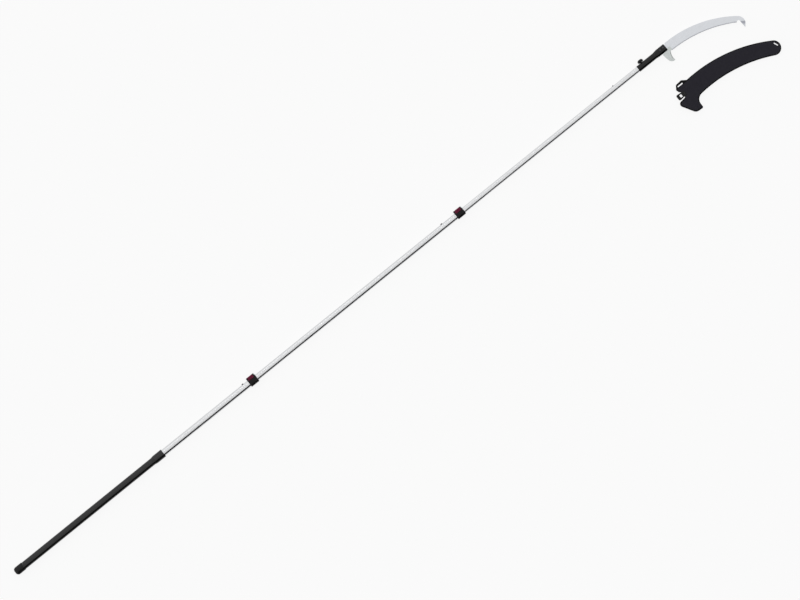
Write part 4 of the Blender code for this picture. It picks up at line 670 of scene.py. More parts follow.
def prism(name, outlines, low, high, place=None):
    """Flat outlines, the first outside and the others holes, pulled from low to high."""
    curve = bpy.data.curves.new(name, "CURVE")
    curve.dimensions, curve.fill_mode, curve.extrude = "2D", "BOTH", (high - low) / 2
    for outline in outlines:
        spline = curve.splines.new("POLY")
        spline.points.add(len(outline) - 1)
        for point, (x, y) in zip(spline.points, outline):
            point.co = (x, y, 0, 1)
        spline.use_cyclic_u = True
    holder = bpy.data.objects.new(name, curve)
    bpy.context.scene.collection.objects.link(holder)
    shape = bmesh.new()
    shape.from_mesh(plain_mesh(holder))
    bpy.data.objects.remove(holder)
    bmesh.ops.remove_doubles(shape, verts=shape.verts, dist=SAME_POINT)
    bmesh.ops.translate(shape, verts=shape.verts, vec=(0, 0, (low + high) / 2))
    return new_piece(name, shape, place)


def skin(shape, rows):
    """Faces from each row of vertices to the next, with three corners where two are the same."""
    for lower, upper in zip(rows, rows[1:]):
        for index in range(len(lower)):
            after = (index + 1) % len(lower)
            corners = dict.fromkeys((lower[index], lower[after], upper[after], upper[index]))
            if len(corners) > 2:
                shape.faces.new(corners)


def loft(name, rings, hollow=False, place=None):
    """A skin through rings of points. A hollow one runs out and back, and closes on itself."""
    shape = bmesh.new()
    loops = [[shape.verts.new(point) for point in each] for each in rings]
    skin(shape, loops + loops[:1] if hollow else loops)
    if not hollow:
        shape.faces.new(loops[0])
        shape.faces.new(loops[-1])
    return new_piece(name, shape, place)


def lathe(name, profile, place=None, steps=48, lobes=0, lobe_depth=0.0):
    """A profile of (radius, height[, lobe share]) turned about z, closed at both ends."""
    shape = bmesh.new()
    rows = []
    for radius, height, *share in profile:
        if radius == 0:
            rows.append([shape.verts.new((0, 0, height))] * steps)
            continue
        row = []
        for angle in (math.tau * step / steps for step in range(steps)):
            dent = lobe_depth * (share[0] if share else 0) * (1 - math.cos(lobes * angle)) / 2
            row.append(shape.verts.new((*on_circle((0, 0), radius - dent, angle), height)))
        rows.append(row)
    skin(shape, rows)
    return new_piece(name, shape, place)


def rod(name, radius, low, high, place=None, steps=40):
    return lathe(name, [(0, low), (radius, low), (radius, high), (0, high)], place, steps)


print("solid helpers ready")

# %% [markdown]
# ## Cuts and edges
# A Boolean cut leaves many-cornered flats and long thin faces. So each piece is shaded last: its
# flats become one face each, its corners stay sharp, and the rest is smooth. The manifold solver
# is used for all cuts, as it keeps closed pieces closed.

# %% Cutting, rounding and shading
FLAT = math.radians(0.2)


def settle(piece):
    """Apply a piece's modifiers."""
    mesh = plain_mesh(piece)
    piece.modifiers.clear()
    piece.data = mesh
    return piece


def carve(piece, *tools, operation="DIFFERENCE"):
    """Cut tools out of a piece, or join them to it, and throw the tools away."""
    for tool in tools:
        modifier = piece.modifiers.new(tool.name, "BOOLEAN")
        modifier.operation, modifier.solver, modifier.object = operation, "MANIFOLD", tool
    settle(piece)
    for tool in tools:
        bpy.data.objects.remove(tool)
    return piece


def join(piece, tool):
    return carve(piece, tool, operation="UNION")


def drill(piece, radius, low, high, place=None, steps=40):
    """Cut a round hole, or one with as many sides as its steps."""
    return carve(piece, rod("drill", radius, low, high, place, steps))


def punch(piece, outline, low, high, place=None):
    """Cut an outline out."""
    return carve(piece, prism("punch", [outline], low, high, place))


def clear(piece, low, high):
    """Cut away all that lies between two corners."""
    (x0, y0, z0), (x1, y1, z1) = low, high
    return punch(piece, [(x0, y0), (x1, y0), (x1, y1), (x0, y1)], z0, z1)


def soften(piece, width, segments=3, angle=40):
    """Round the sharp edges."""
    modifier = piece.modifiers.new("rounding", "BEVEL")
    modifier.width, modifier.segments = width, segments
    modifier.limit_method, modifier.angle_limit = "ANGLE", math.radians(angle)
    modifier.use_clamp_overlap = True
    return settle(piece)


def shade(piece, angle=38):
    """Smooth shading that keeps corners sharp and flats flat, with each flat made one face."""
    shape = bmesh.new()
    shape.from_mesh(piece.data)
    bmesh.ops.dissolve_limit(shape, angle_limit=FLAT, verts=shape.verts, edges=shape.edges,
                             delimit={"MATERIAL"})
    shape.to_mesh(piece.data)
    shape.free()
    piece.data.shade_smooth()
    piece.data.set_sharp_from_angle(angle=math.radians(angle))
    modifier = piece.modifiers.new("flats", "WEIGHTED_NORMAL")
    modifier.keep_sharp = True
    return settle(piece)


def dress(piece, finishes, body, slot_name, *nodes):
    """Give a piece its finishes, the body that it moves with and the solids that it stands for."""
    kept = [polygon.material_index for polygon in piece.data.polygons]
    piece.data.materials.clear()
    for each in finishes:
        piece.data.materials.append(each)
    piece.data.polygons.foreach_set("material_index", [min(i, len(finishes) - 1) for i in kept])
    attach(piece, body)
    if nodes:
        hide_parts(*nodes)
    print(f"{piece.name}: {len(piece.data.polygons)} faces on {body}")
    return piece


print("cutting helpers ready")

# %% [markdown]
# ## Tubes
# Each tube is one wall section that runs round an oval. That is a rule, so a Geometry Nodes tree
# makes all three: a filleted rectangle is the oval, a thin rectangle as long as the tube is the
# wall with its broken edges, and the second is swept round the first. An extruded oval would do
# too, but the sweep gives both ends their small rounding at once.

# %% The tube tree
COUNT, VECTOR = "NodeSocketInt", "NodeSocketVector"
OBJECT, FINISH = "NodeSocketObject", "NodeSocketMaterial"
ALMOST_HALF = 0.49999


def piece_tree(name, **inputs):
    """An empty Geometry Nodes tree with named inputs."""
    tree = bpy.data.node_groups.new(name, "GeometryNodeTree")
    tree.interface.new_socket("Geometry", in_out="OUTPUT", socket_type="NodeSocketGeometry")
    for label, kind in inputs.items():
        tree.interface.new_socket(label.replace("_", " "), in_out="INPUT", socket_type=kind)
    return tree, tree.nodes.new("NodeGroupInput").outputs, tree.nodes.new("NodeGroupOutput").inputs[0]


def hand_over(tree, geometry, given, result):
    """The last steps of every tree: plain mesh, its finish, and out."""
    geometry = add(tree, "GeometryNodeRealizeInstances", geometry).outputs[0]
    geometry = add(tree, "GeometryNodeSetMaterial", geometry, Material=given["Finish"]).outputs[0]
    tree.links.new(geometry, result)


def grow_piece(name, tree, **values):
    """Run a tree with its values and keep the result as a plain mesh."""
    holder = bpy.data.objects.new(name, bpy.data.meshes.new(name))
    bpy.context.scene.collection.objects.link(holder)
    modifier = holder.modifiers.new(tree.name, "NODES")
    modifier.node_group = tree
    sockets = {item.name.replace(" ", "_"): item.identifier for item in tree.interface.items_tree
               if item.item_type == "SOCKET" and item.in_out == "INPUT"}
    for label, value in values.items():
        modifier[sockets[label]] = value
    shape = bmesh.new()
    shape.from_mesh(plain_mesh(holder))
    bpy.data.objects.remove(holder)
    bmesh.ops.remove_doubles(shape, verts=shape.verts, dist=0.01 * MM)
    return new_piece(name, shape)


oval_tube, given, result = piece_tree(
    "oval_tube", Width=NUMBER, Height=NUMBER, Wall=NUMBER, Start=NUMBER, End=NUMBER, Broken_Edge=NUMBER,
    Corner_Steps=COUNT, Finish=FINISH)
width = sums(oval_tube, "SUBTRACT", given["Width"], given["Wall"])
height = sums(oval_tube, "SUBTRACT", given["Height"], given["Wall"])
length = sums(oval_tube, "SUBTRACT", given["End"], given["Start"])
middle = sums(oval_tube, "MULTIPLY", sums(oval_tube, "ADD", given["End"], given["Start"]), 0.5)
corner = sums(oval_tube, "MULTIPLY", height, ALMOST_HALF)
path = add(oval_tube, "GeometryNodeCurvePrimitiveQuadrilateral", width, height).outputs[0]
path = add(oval_tube, "GeometryNodeFilletCurve", path, given["Corner Steps"], corner, mode="POLY").outputs[0]
path = add(oval_tube, "GeometryNodeSetCurveNormal", path, mode="Z_UP").outputs[0]
wall = add(oval_tube, "GeometryNodeCurvePrimitiveQuadrilateral", given["Wall"], length).outputs[0]
wall = add(oval_tube, "GeometryNodeFilletCurve", wall, 2, given["Broken Edge"], mode="POLY").outputs[0]
tube = add(oval_tube, "GeometryNodeCurveToMesh", path, wall).outputs[0]
where = add(oval_tube, "ShaderNodeCombineXYZ", middle).outputs[0]
turned = tuple(math.radians(angle) for angle in ALONG_POLE)
tube = add(oval_tube, "GeometryNodeTransform", tube, where, Rotation=turned).outputs[0]
hand_over(oval_tube, tube, given, result)
print("tube tree has", len(oval_tube.nodes), "nodes")

# %% [markdown]
# ## Three tubes
# They are drawn aluminium, cut to length. The spine side has the holes of the lock buttons and of
# the stow stud, the teeth side the hole of the clamp's screw. Their lengths are read from the
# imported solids.

# %% Three tubes with their holes
LOWER_CLAMP_X = 1634.5 * MM
UPPER_CLAMP_X = LOWER_CLAMP_X + 1423.0 * MM
LOWER_LOCK_X = LOWER_CLAMP_X - 56.5 * MM
UPPER_LOCK_X = UPPER_CLAMP_X - 113.5 * MM
STOW_HOLE_X = UPPER_CLAMP_X - 55.5 * MM
STOW_STUD_X = HEAD_X - 162.5 * MM
CLAMP_SCREW_OFFSET = 14.0 * MM
BUTTON_HOLE = 4.3 * MM
STUD_HOLE = 4.1 * MM
SCREW_HOLE = 2.3 * MM
TUBE_EDGE, TUBE_CORNER_STEPS = 0.25 * MM, 14


def make_tube(name, size, wall, node, body, spine_holes, screw_x):
    low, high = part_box(node)
    piece = grow_piece(name, oval_tube, Width=size[0], Height=size[1], Wall=wall, Start=low[0], End=high[0],
                       Broken_Edge=TUBE_EDGE, Corner_Steps=TUBE_CORNER_STEPS, Finish=aluminium)
    drills = [rod("drill", radius, 0, BASE[0], turn_and_move(TO_SPINE, (x, 0, 0)))
              for x, radius in spine_holes]
    if screw_x is not None:
        drills.append(rod("drill", SCREW_HOLE, 0, BASE[0], turn_and_move(TO_TEETH, (screw_x, 0, 0))))
    dress(shade(carve(piece, *drills)), [aluminium], body, "aluminium", node)


make_tube("pole_tube_base", BASE, BASE_WALL, "base_tube", "base",
          [(LOWER_LOCK_X, BUTTON_HOLE)], LOWER_CLAMP_X - CLAMP_SCREW_OFFSET)
make_tube("pole_tube_middle", MIDDLE, MIDDLE_WALL, "middle_tube", "middle",
          [(LOWER_LOCK_X, STUD_HOLE), (UPPER_LOCK_X, BUTTON_HOLE), (STOW_HOLE_X, BUTTON_HOLE)],
          UPPER_CLAMP_X - CLAMP_SCREW_OFFSET)
make_tube("pole_tube_top", TOP, TOP_WALL, "top_tube", "top",
          [(UPPER_LOCK_X, STUD_HOLE), (STOW_STUD_X, STUD_HOLE)], None)

# %% [markdown]
# ## Butt cap
# The cap is a moulded rubber cup with a domed end, and two shallow rings near its mouth. It is
# rings of points with a skin, because its section stays oval and only its size changes. A lathe
# can't make an oval.

# %% Butt cap
CAP_LENGTH, CAP_END_WALL, CAP_ROUNDING = 57.0 * MM, 9.0 * MM, 17.0 * MM
CAP = (45.0 * MM, 38.0 * MM)
CAP_GROOVES = (38.0 * MM, 44.0 * MM)
FLARE_EDGE = 2.5 * MM
GROOVE_DEPTH = 0.6 * MM
GROOVE_STEPS = ((0, 0), (0.5, 0.5), (1.0, 0.9), (1.5, 1.0), (2.0, 0.9), (2.5, 0.5), (3.0, 0))

rings = [ring(CAP_ROUNDING * (1 - cosine), CAP, CAP_ROUNDING * (sine - 1))
         for sine, cosine in quarter_turn(14)]
for start in CAP_GROOVES:
    rings += [ring(start + along * MM, CAP, -GROOVE_DEPTH * share) for along, share in GROOVE_STEPS]
rings += [ring(CAP_LENGTH - FLARE_EDGE * (1 - sine), CAP, FLARE_EDGE / 2 * (cosine - 1))
          for sine, cosine in quarter_turn(5)]
rings += [ring(CAP_LENGTH, BASE, GAP), ring(CAP_END_WALL, BASE, GAP)]
dress(shade(loft("rubber_butt_cap", rings)), [black_rubber], "base", "black_rubber", "butt_cap")

# %% [markdown]
# ## Grip
# The grip is a long rubber sleeve, pulled over the tube like a hose. It swells to a hand stop at
# its upper end, so that the hand doesn't slip up. The swelling follows an easing curve, so it
# leaves the sleeve without a crease.

# %% Grip sleeve
GRIP_START, GRIP_END = (edge[0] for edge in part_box("grip_sleeve"))
GRIP_WALL, GRIP_EDGE = 1.3 * MM, 0.5 * MM
FLARE_HEIGHT, FLARE_LENGTH, FLARE_TAPER = 3.0 * MM, 53.0 * MM, 24.0 * MM
FLARE_STEPS = 16

body_grow = GAP + GRIP_WALL
stop_start = GRIP_END - FLARE_LENGTH
rings = [ring(GRIP_START, BASE, body_grow - GRIP_EDGE), ring(GRIP_START + GRIP_EDGE, BASE, body_grow)]
for share in (step / FLARE_STEPS for step in range(FLARE_STEPS + 1)):
    rings.append(ring(stop_start - FLARE_TAPER * (1 - share), BASE, body_grow + FLARE_HEIGHT * ease(share)))
stop_grow = body_grow + FLARE_HEIGHT
rings += [ring(GRIP_END - FLARE_EDGE * (1 - sine), BASE, stop_grow - FLARE_EDGE * (1 - cosine) / 2)
          for sine, cosine in quarter_turn(6)]
rings += [ring(GRIP_END, BASE, GAP), ring(GRIP_START, BASE, GAP)]
dress(shade(loft("rubber_grip", rings, hollow=True)), [grip_rubber], "base", "grip_rubber", "grip_sleeve")

# %% [markdown]
# ## Lever clamps
# A black collar sits on each outer tube's end. Two ears hold a maroon cam lever on a steel pin.
# The thumb grooves in the lever and the grip grooves in the collar are rows of equal bars, which a
# Geometry Nodes tree lays out to be cut away.

# %% A tree for rows of groove cutters
BAR_SIDES = 16

groove_row, given, result = piece_tree(
    "groove_row", Radius=NUMBER, Length=NUMBER, Pitch=NUMBER, Count=COUNT, Finish=FINISH)
bar = add(groove_row, "GeometryNodeMeshCylinder", BAR_SIDES, 1, 1, given["Radius"],
          given["Length"]).outputs[0]
gap_count = sums(groove_row, "SUBTRACT", given["Count"], 1.0)
first = sums(groove_row, "MULTIPLY", sums(groove_row, "MULTIPLY", gap_count, given["Pitch"]), -0.5)
start = add(groove_row, "ShaderNodeCombineXYZ", first).outputs[0]
apart = add(groove_row, "ShaderNodeCombineXYZ", given["Pitch"]).outputs[0]
spots = add(groove_row, "GeometryNodeMeshLine", given["Count"], Start_Location=start, Offset=apart).outputs[0]
row = add(groove_row, "GeometryNodeInstanceOnPoints", spots, Instance=bar).outputs[0]
hand_over(groove_row, row, given, result)


def grooves(radius, length, pitch, count, place):
    """Bars across x, in a row along x, moved to their place."""
    piece = grow_piece("grooves", groove_row, Radius=radius, Length=length, Pitch=pitch, Count=count,
                       Finish=black_plastic)
    piece.data.transform(place)
    return piece


print("groove tree has", len(groove_row.nodes), "nodes")

# %% [markdown]
# ## Clamp sizes
# Both clamps are the same moulding at two sizes, so all their sizes are named once here, and the
# functions below take only the tube's oval and the clamp's place. The saw lies on the clamps: the
# ground is the flat underside of their housings.

# %% Clamp sizes
GROUND = 19.0 * MM
CLAMP_LENGTH, CLAMP_WALL, CLAMP_CORNER, CLAMP_ROUNDING = 49.0 * MM, 4.5 * MM, 11.0 * MM, 1.2 * MM
EAR_WIDTH, EAR_MARGIN, EAR_CORNER = 7.2 * MM, 5.1 * MM, 7.0 * MM
PIVOT_OFFSET, PIVOT_DROP, PIN_RADIUS, PIN_DOME = 7.2 * MM, 6.5 * MM, 2.0 * MM, 0.7 * MM
LEVER_THICKNESS, LEVER_TOP, LEVER_PROUD, LEVER_LIP = 5.2 * MM, 3.7 * MM, 1.5 * MM, 14.2 * MM
LEVER_FOOT, LEVER_HEEL, LEVER_NOSE = 2.5 * MM, 3.5 * MM, 1.2 * MM
LEVER_INSIDE, LEVER_EDGE = 0.8 * MM, 0.7 * MM
CAM_RADIUS, CAM_LIFT = 4.6 * MM, 0.8 * MM
LEVER_LENGTH = CLAMP_LENGTH - 2 * (EAR_WIDTH + GAP)
THUMB_BAR, THUMB_PITCH, THUMB_COUNT, THUMB_MARGIN = 1.2 * MM, 2.6 * MM, 4, 9 * MM
THUMB_INSET, THUMB_RISE = 6.0 * MM, 0.7 * MM
RIB_BAR, RIB_LENGTH, RIB_PITCH, RIB_COUNT = 1.5 * MM, 14 * MM, 4 * MM, 6
RIB_DROP, RIB_RISE = 12 * MM, 0.9 * MM
BUSH_FLANGE, BUSH_RIM, BUSH_INSET, BUSH_EDGE = 2.2 * MM, 2.0 * MM, 1.0 * MM, 0.5 * MM
SCREW_HEAD, SCREW_HEAD_HEIGHT, SCREW_SHANK, SCREW_EDGE = 3.6 * MM, 2.6 * MM, 2.0 * MM, 0.5 * MM
SCREW_KEY, SCREW_KEY_DEPTH = 1.6 * MM, 1.4 * MM
PAD_START, PAD_LENGTH, PAD_HEIGHT = 3.0 * MM, 16.0 * MM, 7.0 * MM


def clear_pad_window(piece, centre_x, reach):
    """Cut the window that the brake pad moves in."""
    start, bottom = centre_x + BUSH_INSET + PAD_START, -PIVOT_DROP - PAD_HEIGHT / 2
    return clear(piece, (start - GAP, 0, bottom - GAP),
                 (start + PAD_LENGTH + GAP, reach, bottom + PAD_HEIGHT + GAP))


def clamp_places(size, centre_x):
    """The y of the lever's pivot and of the teeth side's face, and the places of pin and screw."""
    pivot, face = size[0] / 2 + PIVOT_OFFSET, -(size[0] / 2 + GAP + CLAMP_WALL)
    at_pin = turn_and_move(ALONG_POLE, (centre_x, pivot, -PIVOT_DROP))
    at_screw = turn_and_move(TO_TEETH, (centre_x - CLAMP_SCREW_OFFSET, face, 0))
    return pivot, face, at_pin, at_screw


print("lever length in mm:", round(LEVER_LENGTH / MM, 1))

# %% [markdown]
# ## Collar
# The collar is a plastic moulding. It is one section pulled along the pole and rounded at its
# ends, then bored for the tube, and opened for the lever, its cam, the pin, the pad and the screw.

# %% Collar
def make_collar(prefix, size, centre_x, body):
    pivot, face, at_pin, at_screw = clamp_places(size, centre_x)
    back = pivot + EAR_MARGIN
    section = rounded([(face, -GROUND, CLAMP_CORNER), (back, -GROUND, EAR_CORNER),
                       (back, GROUND, EAR_CORNER), (face, GROUND, CLAMP_CORNER)])
    half = CLAMP_LENGTH / 2
    lie = turn_and_move(ALONG_POLE, (centre_x, 0, 0))
    collar = soften(prism("collar", [section], -half, half, lie), CLAMP_ROUNDING, 4)
    for side in (1, -1):
        level = side * (GROUND + RIB_RISE)
        across = turn_and_move((90, 0, 0), (centre_x, (face + pivot) / 2 - RIB_DROP, level))
        carve(collar, grooves(RIB_BAR, RIB_LENGTH, RIB_PITCH, RIB_COUNT, across))
    beyond, half_room = 4 * GROUND, LEVER_LENGTH / 2 + GAP
    seat, lip = back - LEVER_THICKNESS - GAP, pivot - LEVER_LIP - 2 * GAP
    shelf = GROUND + LEVER_PROUD - LEVER_TOP - GAP
    room = [(seat, -beyond), (beyond, -beyond), (beyond, beyond), (lip, beyond), (lip, shelf), (seat, shelf)]
    punch(collar, oval_outline(size, GAP), -half * 2, half * 2, lie)
    punch(collar, room, -half_room, half_room, lie)
    drill(collar, CAM_RADIUS + CAM_LIFT + GAP, -half_room, half_room, at_pin)
    drill(collar, PIN_RADIUS + GAP, -CLAMP_LENGTH, CLAMP_LENGTH, at_pin)
    drill(collar, SCREW_HEAD + GAP, -SCREW_HEAD_HEIGHT - GAP, CLAMP_WALL, at_screw)
    drill(collar, SCREW_HOLE, -2 * CLAMP_WALL, CLAMP_WALL, at_screw)
    clear_pad_window(collar, centre_x, pivot - CAM_LIFT)
    collar.name = prefix + "_collar"
    dress(shade(collar), [black_plastic], body, "black_plastic", prefix + "_clamp_housing")


make_collar("lower", BASE, LOWER_CLAMP_X, "base")
make_collar("upper", MIDDLE, UPPER_CLAMP_X, "middle")

# %% [markdown]
# ## Cam lever
# The lever folds over the collar's corner: one leg lies on the spine side, the other reaches over
# the top and has the thumb grooves. Its root is a round cam a little off the pin's centre, which
# presses the pad on the tube. Leg and cam are two solids joined, because the leg's edges are
# rounded and the cam's face isn't.

# %% Cam lever
def make_cam_lever(prefix, size, centre_x, body):
    pivot, _, at_pin, _ = clamp_places(size, centre_x)
    inner = EAR_MARGIN - LEVER_THICKNESS
    top = GROUND + LEVER_PROUD + PIVOT_DROP
    leg = rounded([(inner, -LEVER_FOOT, 0), (EAR_MARGIN, -LEVER_FOOT, LEVER_HEEL),
                   (EAR_MARGIN, top, EAR_CORNER), (-LEVER_LIP, top, LEVER_NOSE),
                   (-LEVER_LIP, top - LEVER_TOP, LEVER_NOSE), (inner, top - LEVER_TOP, LEVER_INSIDE)])
    half = LEVER_LENGTH / 2
    lever = soften(prism("lever", [leg], -half, half, at_pin), LEVER_EDGE, 3)
    at_cam = turn_and_move(ALONG_POLE, (centre_x, pivot - CAM_LIFT, -PIVOT_DROP))
    join(lever, rod("cam", CAM_RADIUS, -half, half, at_cam))
    drill(lever, PIN_RADIUS + GAP, -CLAMP_LENGTH, CLAMP_LENGTH, at_pin)
    at_thumb = (centre_x, pivot - LEVER_LIP + THUMB_INSET, GROUND + LEVER_PROUD + THUMB_RISE)
    carve(lever, grooves(THUMB_BAR, LEVER_LENGTH - THUMB_MARGIN, THUMB_PITCH, THUMB_COUNT,
                         turn_and_move(ALONG_POLE, at_thumb)))
    lever.name = prefix + "_cam_lever"
    dress(shade(lever), [red_plastic], body, "red_plastic", prefix + "_clamp_lever")


make_cam_lever("lower", BASE, LOWER_CLAMP_X, "lower_lever")
make_cam_lever("upper", MIDDLE, UPPER_CLAMP_X, "upper_lever")

# %% [markdown]
# ## Clamp fittings
# A grey bush with a flange fills the collar's mouth round the sliding tube. The pin is plain steel
# with domed ends, and a screw with a hexagon socket holds the collar on its tube.

# %% Mouth bush, pin and screw
def make_clamp_fittings(prefix, size, inner, centre_x, body):
    pivot, _, at_pin, at_screw = clamp_places(size, centre_x)
    low, mouth = centre_x + BUSH_INSET + GAP, centre_x + CLAMP_LENGTH / 2 + GAP
    high, part = mouth + BUSH_FLANGE, 0.3 * BUSH_EDGE
    rings = [ring(low, size), ring(mouth, size), ring(mouth, size, BUSH_RIM),
             ring(high - BUSH_EDGE, size, BUSH_RIM), ring(high - part, size, BUSH_RIM - part),
             ring(high, size, BUSH_RIM - BUSH_EDGE), ring(high, inner, SLIDE_GAP),
             ring(low, inner, SLIDE_GAP)]
    bush = clear_pad_window(loft(prefix + "_mouth_bush", rings, hollow=True), centre_x, pivot)
    dress(shade(bush), [grey_plastic], body, "grey_plastic", prefix + "_clamp_bush")

    end = crowned(PIN_RADIUS, CLAMP_LENGTH / 2 - GAP, PIN_DOME)
    profile = end + [(radius, -height) for radius, height in reversed(end)]
    pin = lathe(prefix + "_steel_pin", profile, at_pin, 24)
    dress(shade(pin), [dark_steel], body, "dark_steel", prefix + "_lever_pin")

    tip = CLAMP_WALL + (size[0] - inner[0]) / 2 - SLIDE_GAP
    profile = crowned(SCREW_HEAD, 0, SCREW_EDGE) + [
        (SCREW_HEAD, -SCREW_HEAD_HEIGHT), (SCREW_SHANK, -SCREW_HEAD_HEIGHT), (SCREW_SHANK, -tip), (0, -tip)]
    screw = lathe(prefix + "_collar_screw", profile, at_screw, 32)
    drill(screw, SCREW_KEY, -SCREW_KEY_DEPTH, SCREW_HEAD, at_screw, 6)
    dress(shade(screw), [dark_steel], body, "dark_steel", prefix + "_clamp_screw")


make_clamp_fittings("lower", BASE, MIDDLE, LOWER_CLAMP_X, "base")
make_clamp_fittings("upper", MIDDLE, TOP, UPPER_CLAMP_X, "middle")

# %% [markdown]
# ## Lock buttons
# A round black seat is saddled on the tube, and the release button sits in its well. Near the head
# a domed steel stud stands out of the top tube: it snaps in the middle tube when the saw is
# closed. All of them are profiles turned about their own axis.

# %% Buttons, seats and the stow stud
BOSS_RADIUS, BOSS_HEIGHT, BOSS_EDGE = 6.2 * MM, 2.0 * MM, 0.8 * MM
BUTTON_RADIUS, BUTTON_HEIGHT, BUTTON_TRAVEL, BUTTON_EDGE = 4.0 * MM, 3.6 * MM, 1.0 * MM, 0.8 * MM
DISH_BOTTOM, DISH_INSIDE, DISH_OUTSIDE = 0.4 * MM, (1.4 * MM, 0.35 * MM), 2.4 * MM
STOW_RADIUS, STOW_PROUD, STOW_DOME = 3.7 * MM, 3.3 * MM, 1.4 * MM
STOW_FLANGE, STOW_FLANGE_HEIGHT = 1.0 * MM, 1.2 * MM


def make_lock(prefix, size, slides_in, x, body, button_body):
    crest = size[0] / 2
    out = turn_and_move(TO_SPINE, (x, 0, 0))
    seat_top = crest + BOSS_HEIGHT
    profile = [(0, 0), (BOSS_RADIUS, 0)] + crowned(BOSS_RADIUS, seat_top, BOSS_EDGE)[::-1]
    seat = lathe("seat", profile, out)
    punch(seat, oval_outline(size, GAP), -BASE[0], BASE[0], turn_and_move(ALONG_POLE, (x, 0, 0)))
    drill(seat, BUTTON_HOLE, 0, 2 * crest, out)
    seat.name = prefix + "_button_seat"
    dress(shade(seat), [black_plastic], body, "black_plastic", prefix + "_button_boss")

    bottom = -(crest - slides_in / 2) + BUTTON_TRAVEL
    profile = [(0, BUTTON_HEIGHT - DISH_BOTTOM), (DISH_INSIDE[0], BUTTON_HEIGHT - DISH_INSIDE[1]),
               (DISH_OUTSIDE, BUTTON_HEIGHT)]
    profile += crowned(BUTTON_RADIUS, BUTTON_HEIGHT, BUTTON_EDGE)[1:] + [(BUTTON_RADIUS, bottom), (0, bottom)]
    button = lathe(prefix + "_button", profile, turn_and_move(TO_SPINE, (x, crest, 0)))
    dress(shade(button), [black_plastic], button_body, "black_plastic", prefix + "_release_button")


make_lock("lower", BASE, MIDDLE[0] + 2 * SLIDE_GAP, LOWER_LOCK_X, "base", "lower_button")
make_lock("upper", MIDDLE, TOP[0] + 2 * SLIDE_GAP, UPPER_LOCK_X, "middle", "upper_button")

top_bore = shrink(TOP, TOP_WALL)
flange = STUD_HOLE + STOW_FLANGE
seat_y = top_bore[0] / 2 - top_bore[1] / 2 + math.sqrt((top_bore[1] / 2) ** 2 - flange ** 2) - GAP
flange_end = seat_y - STOW_FLANGE_HEIGHT
profile = crowned(STOW_RADIUS, TOP[0] / 2 + STOW_PROUD, STOW_DOME) + [
    (STOW_RADIUS, seat_y), (flange, seat_y), (flange, flange_end), (0, flange_end)]
stud = lathe("stow_snap_stud", profile, turn_and_move(TO_SPINE, (STOW_STUD_X, 0, 0)))
dress(shade(stud), [dark_steel], "stow", "dark_steel", "stow_stud")

# %% [markdown]
# ## Head
# The head is a black casting: an oval barrel over the top tube that widens to a jaw, with the
# blade between its tongue and a plate. Both halves come from one skin, cut at two levels, so they
# meet in one smooth shape. Two bolts with hexagon sockets hold the blade, and a lobed knob
# presses on the tube.

# %% Head skin
BARREL = shrink(TOP, -(GAP + 2.0 * MM))
JAW, JAW_SHIFT, JAW_START, JAW_LIP = (41.0 * MM, 25.0 * MM), 0.8 * MM, 120.0 * MM, 4.0 * MM
BARREL_LENGTH, HEAD_TAPER, HEAD_LENGTH, HEAD_ROUNDING = 108.0 * MM, 32.0 * MM, 188.0 * MM, 2.0 * MM
BOLT_Y = JAW_SHIFT + 4.5 * MM
BOLT_XS = (HEAD_X + HEAD_LENGTH - 35.0 * MM, HEAD_X + HEAD_LENGTH - 14.0 * MM)
BOLT_HOLE = 3.3 * MM
KNOB_X = HEAD_X + 34.5 * MM
BLADE_HALF = 0.75 * MM
SICKLE_LEVEL = BLADE_HALF + GAP
SICKLE_THICKNESS = 2.0 * MM
PLATE_LEVEL = SICKLE_LEVEL + SICKLE_THICKNESS + GAP
TAPER_STEPS = 16


def head_skin(name):
    rings = [ring(HEAD_X + HEAD_ROUNDING * (1 - cosine), BARREL, HEAD_ROUNDING * (sine - 1))
             for sine, cosine in quarter_turn(4)]
    for share in (step / TAPER_STEPS for step in range(TAPER_STEPS + 1)):
        eased = ease(share)
        size = tuple(a + (b - a) * eased for a, b in zip(BARREL, JAW))
        rings.append(ring(HEAD_X + BARREL_LENGTH + HEAD_TAPER * share, size, shift=JAW_SHIFT * eased))
    for sine, cosine in quarter_turn(4):
        x = HEAD_X + HEAD_LENGTH - HEAD_ROUNDING * (1 - sine)
        rings.append(ring(x, JAW, HEAD_ROUNDING * (cosine - 1), JAW_SHIFT))
    return loft(name, rings)


def drill_jaw(piece):
    for x in BOLT_XS:
        drill(piece, BOLT_HOLE, -BASE[0], BASE[0], turn_and_move(place=(x, BOLT_Y, 0)))
    return piece


print("barrel in mm:", [round(v / MM, 1) for v in BARREL])

# %% [markdown]
# ## Casting and plate
# The casting is bored for the top tube, and cut away above its tongue, where blade, sickle and
# plate lie. The plate is what other cuts leave of the same skin, with a lip that comes down on the
# spine side. Both are black enamel, the smoothest of the black finishes.

# %% Socket and jaw plate
KNOB_BOSS, KNOB_BOSS_RADIUS, STUD_CLEARANCE = 0.5 * MM, 9 * MM, 3.3 * MM
BORE_DEPTH = 101 * MM
BEYOND = 1.0

far, half_gap = HEAD_X + BEYOND, BLADE_HALF + GAP
crest = BARREL[0] / 2
out = turn_and_move(TO_SPINE, (KNOB_X, 0, 0))
socket = head_skin("head_casting")
join(socket, rod("boss", KNOB_BOSS_RADIUS, TOP[0] / 2, crest + KNOB_BOSS, out))
punch(socket, oval_outline(TOP, GAP), -HEAD_LENGTH, BORE_DEPTH, turn_and_move(ALONG_POLE, (HEAD_X, 0, 0)))
drill(socket, STUD_CLEARANCE, 0, 2 * crest, out)
clear(socket, (HEAD_X + JAW_START, -BEYOND, -half_gap), (far, BEYOND, BEYOND))
dress(shade(drill_jaw(socket)), [black_enamel], "head", "black_plastic", "head_socket")

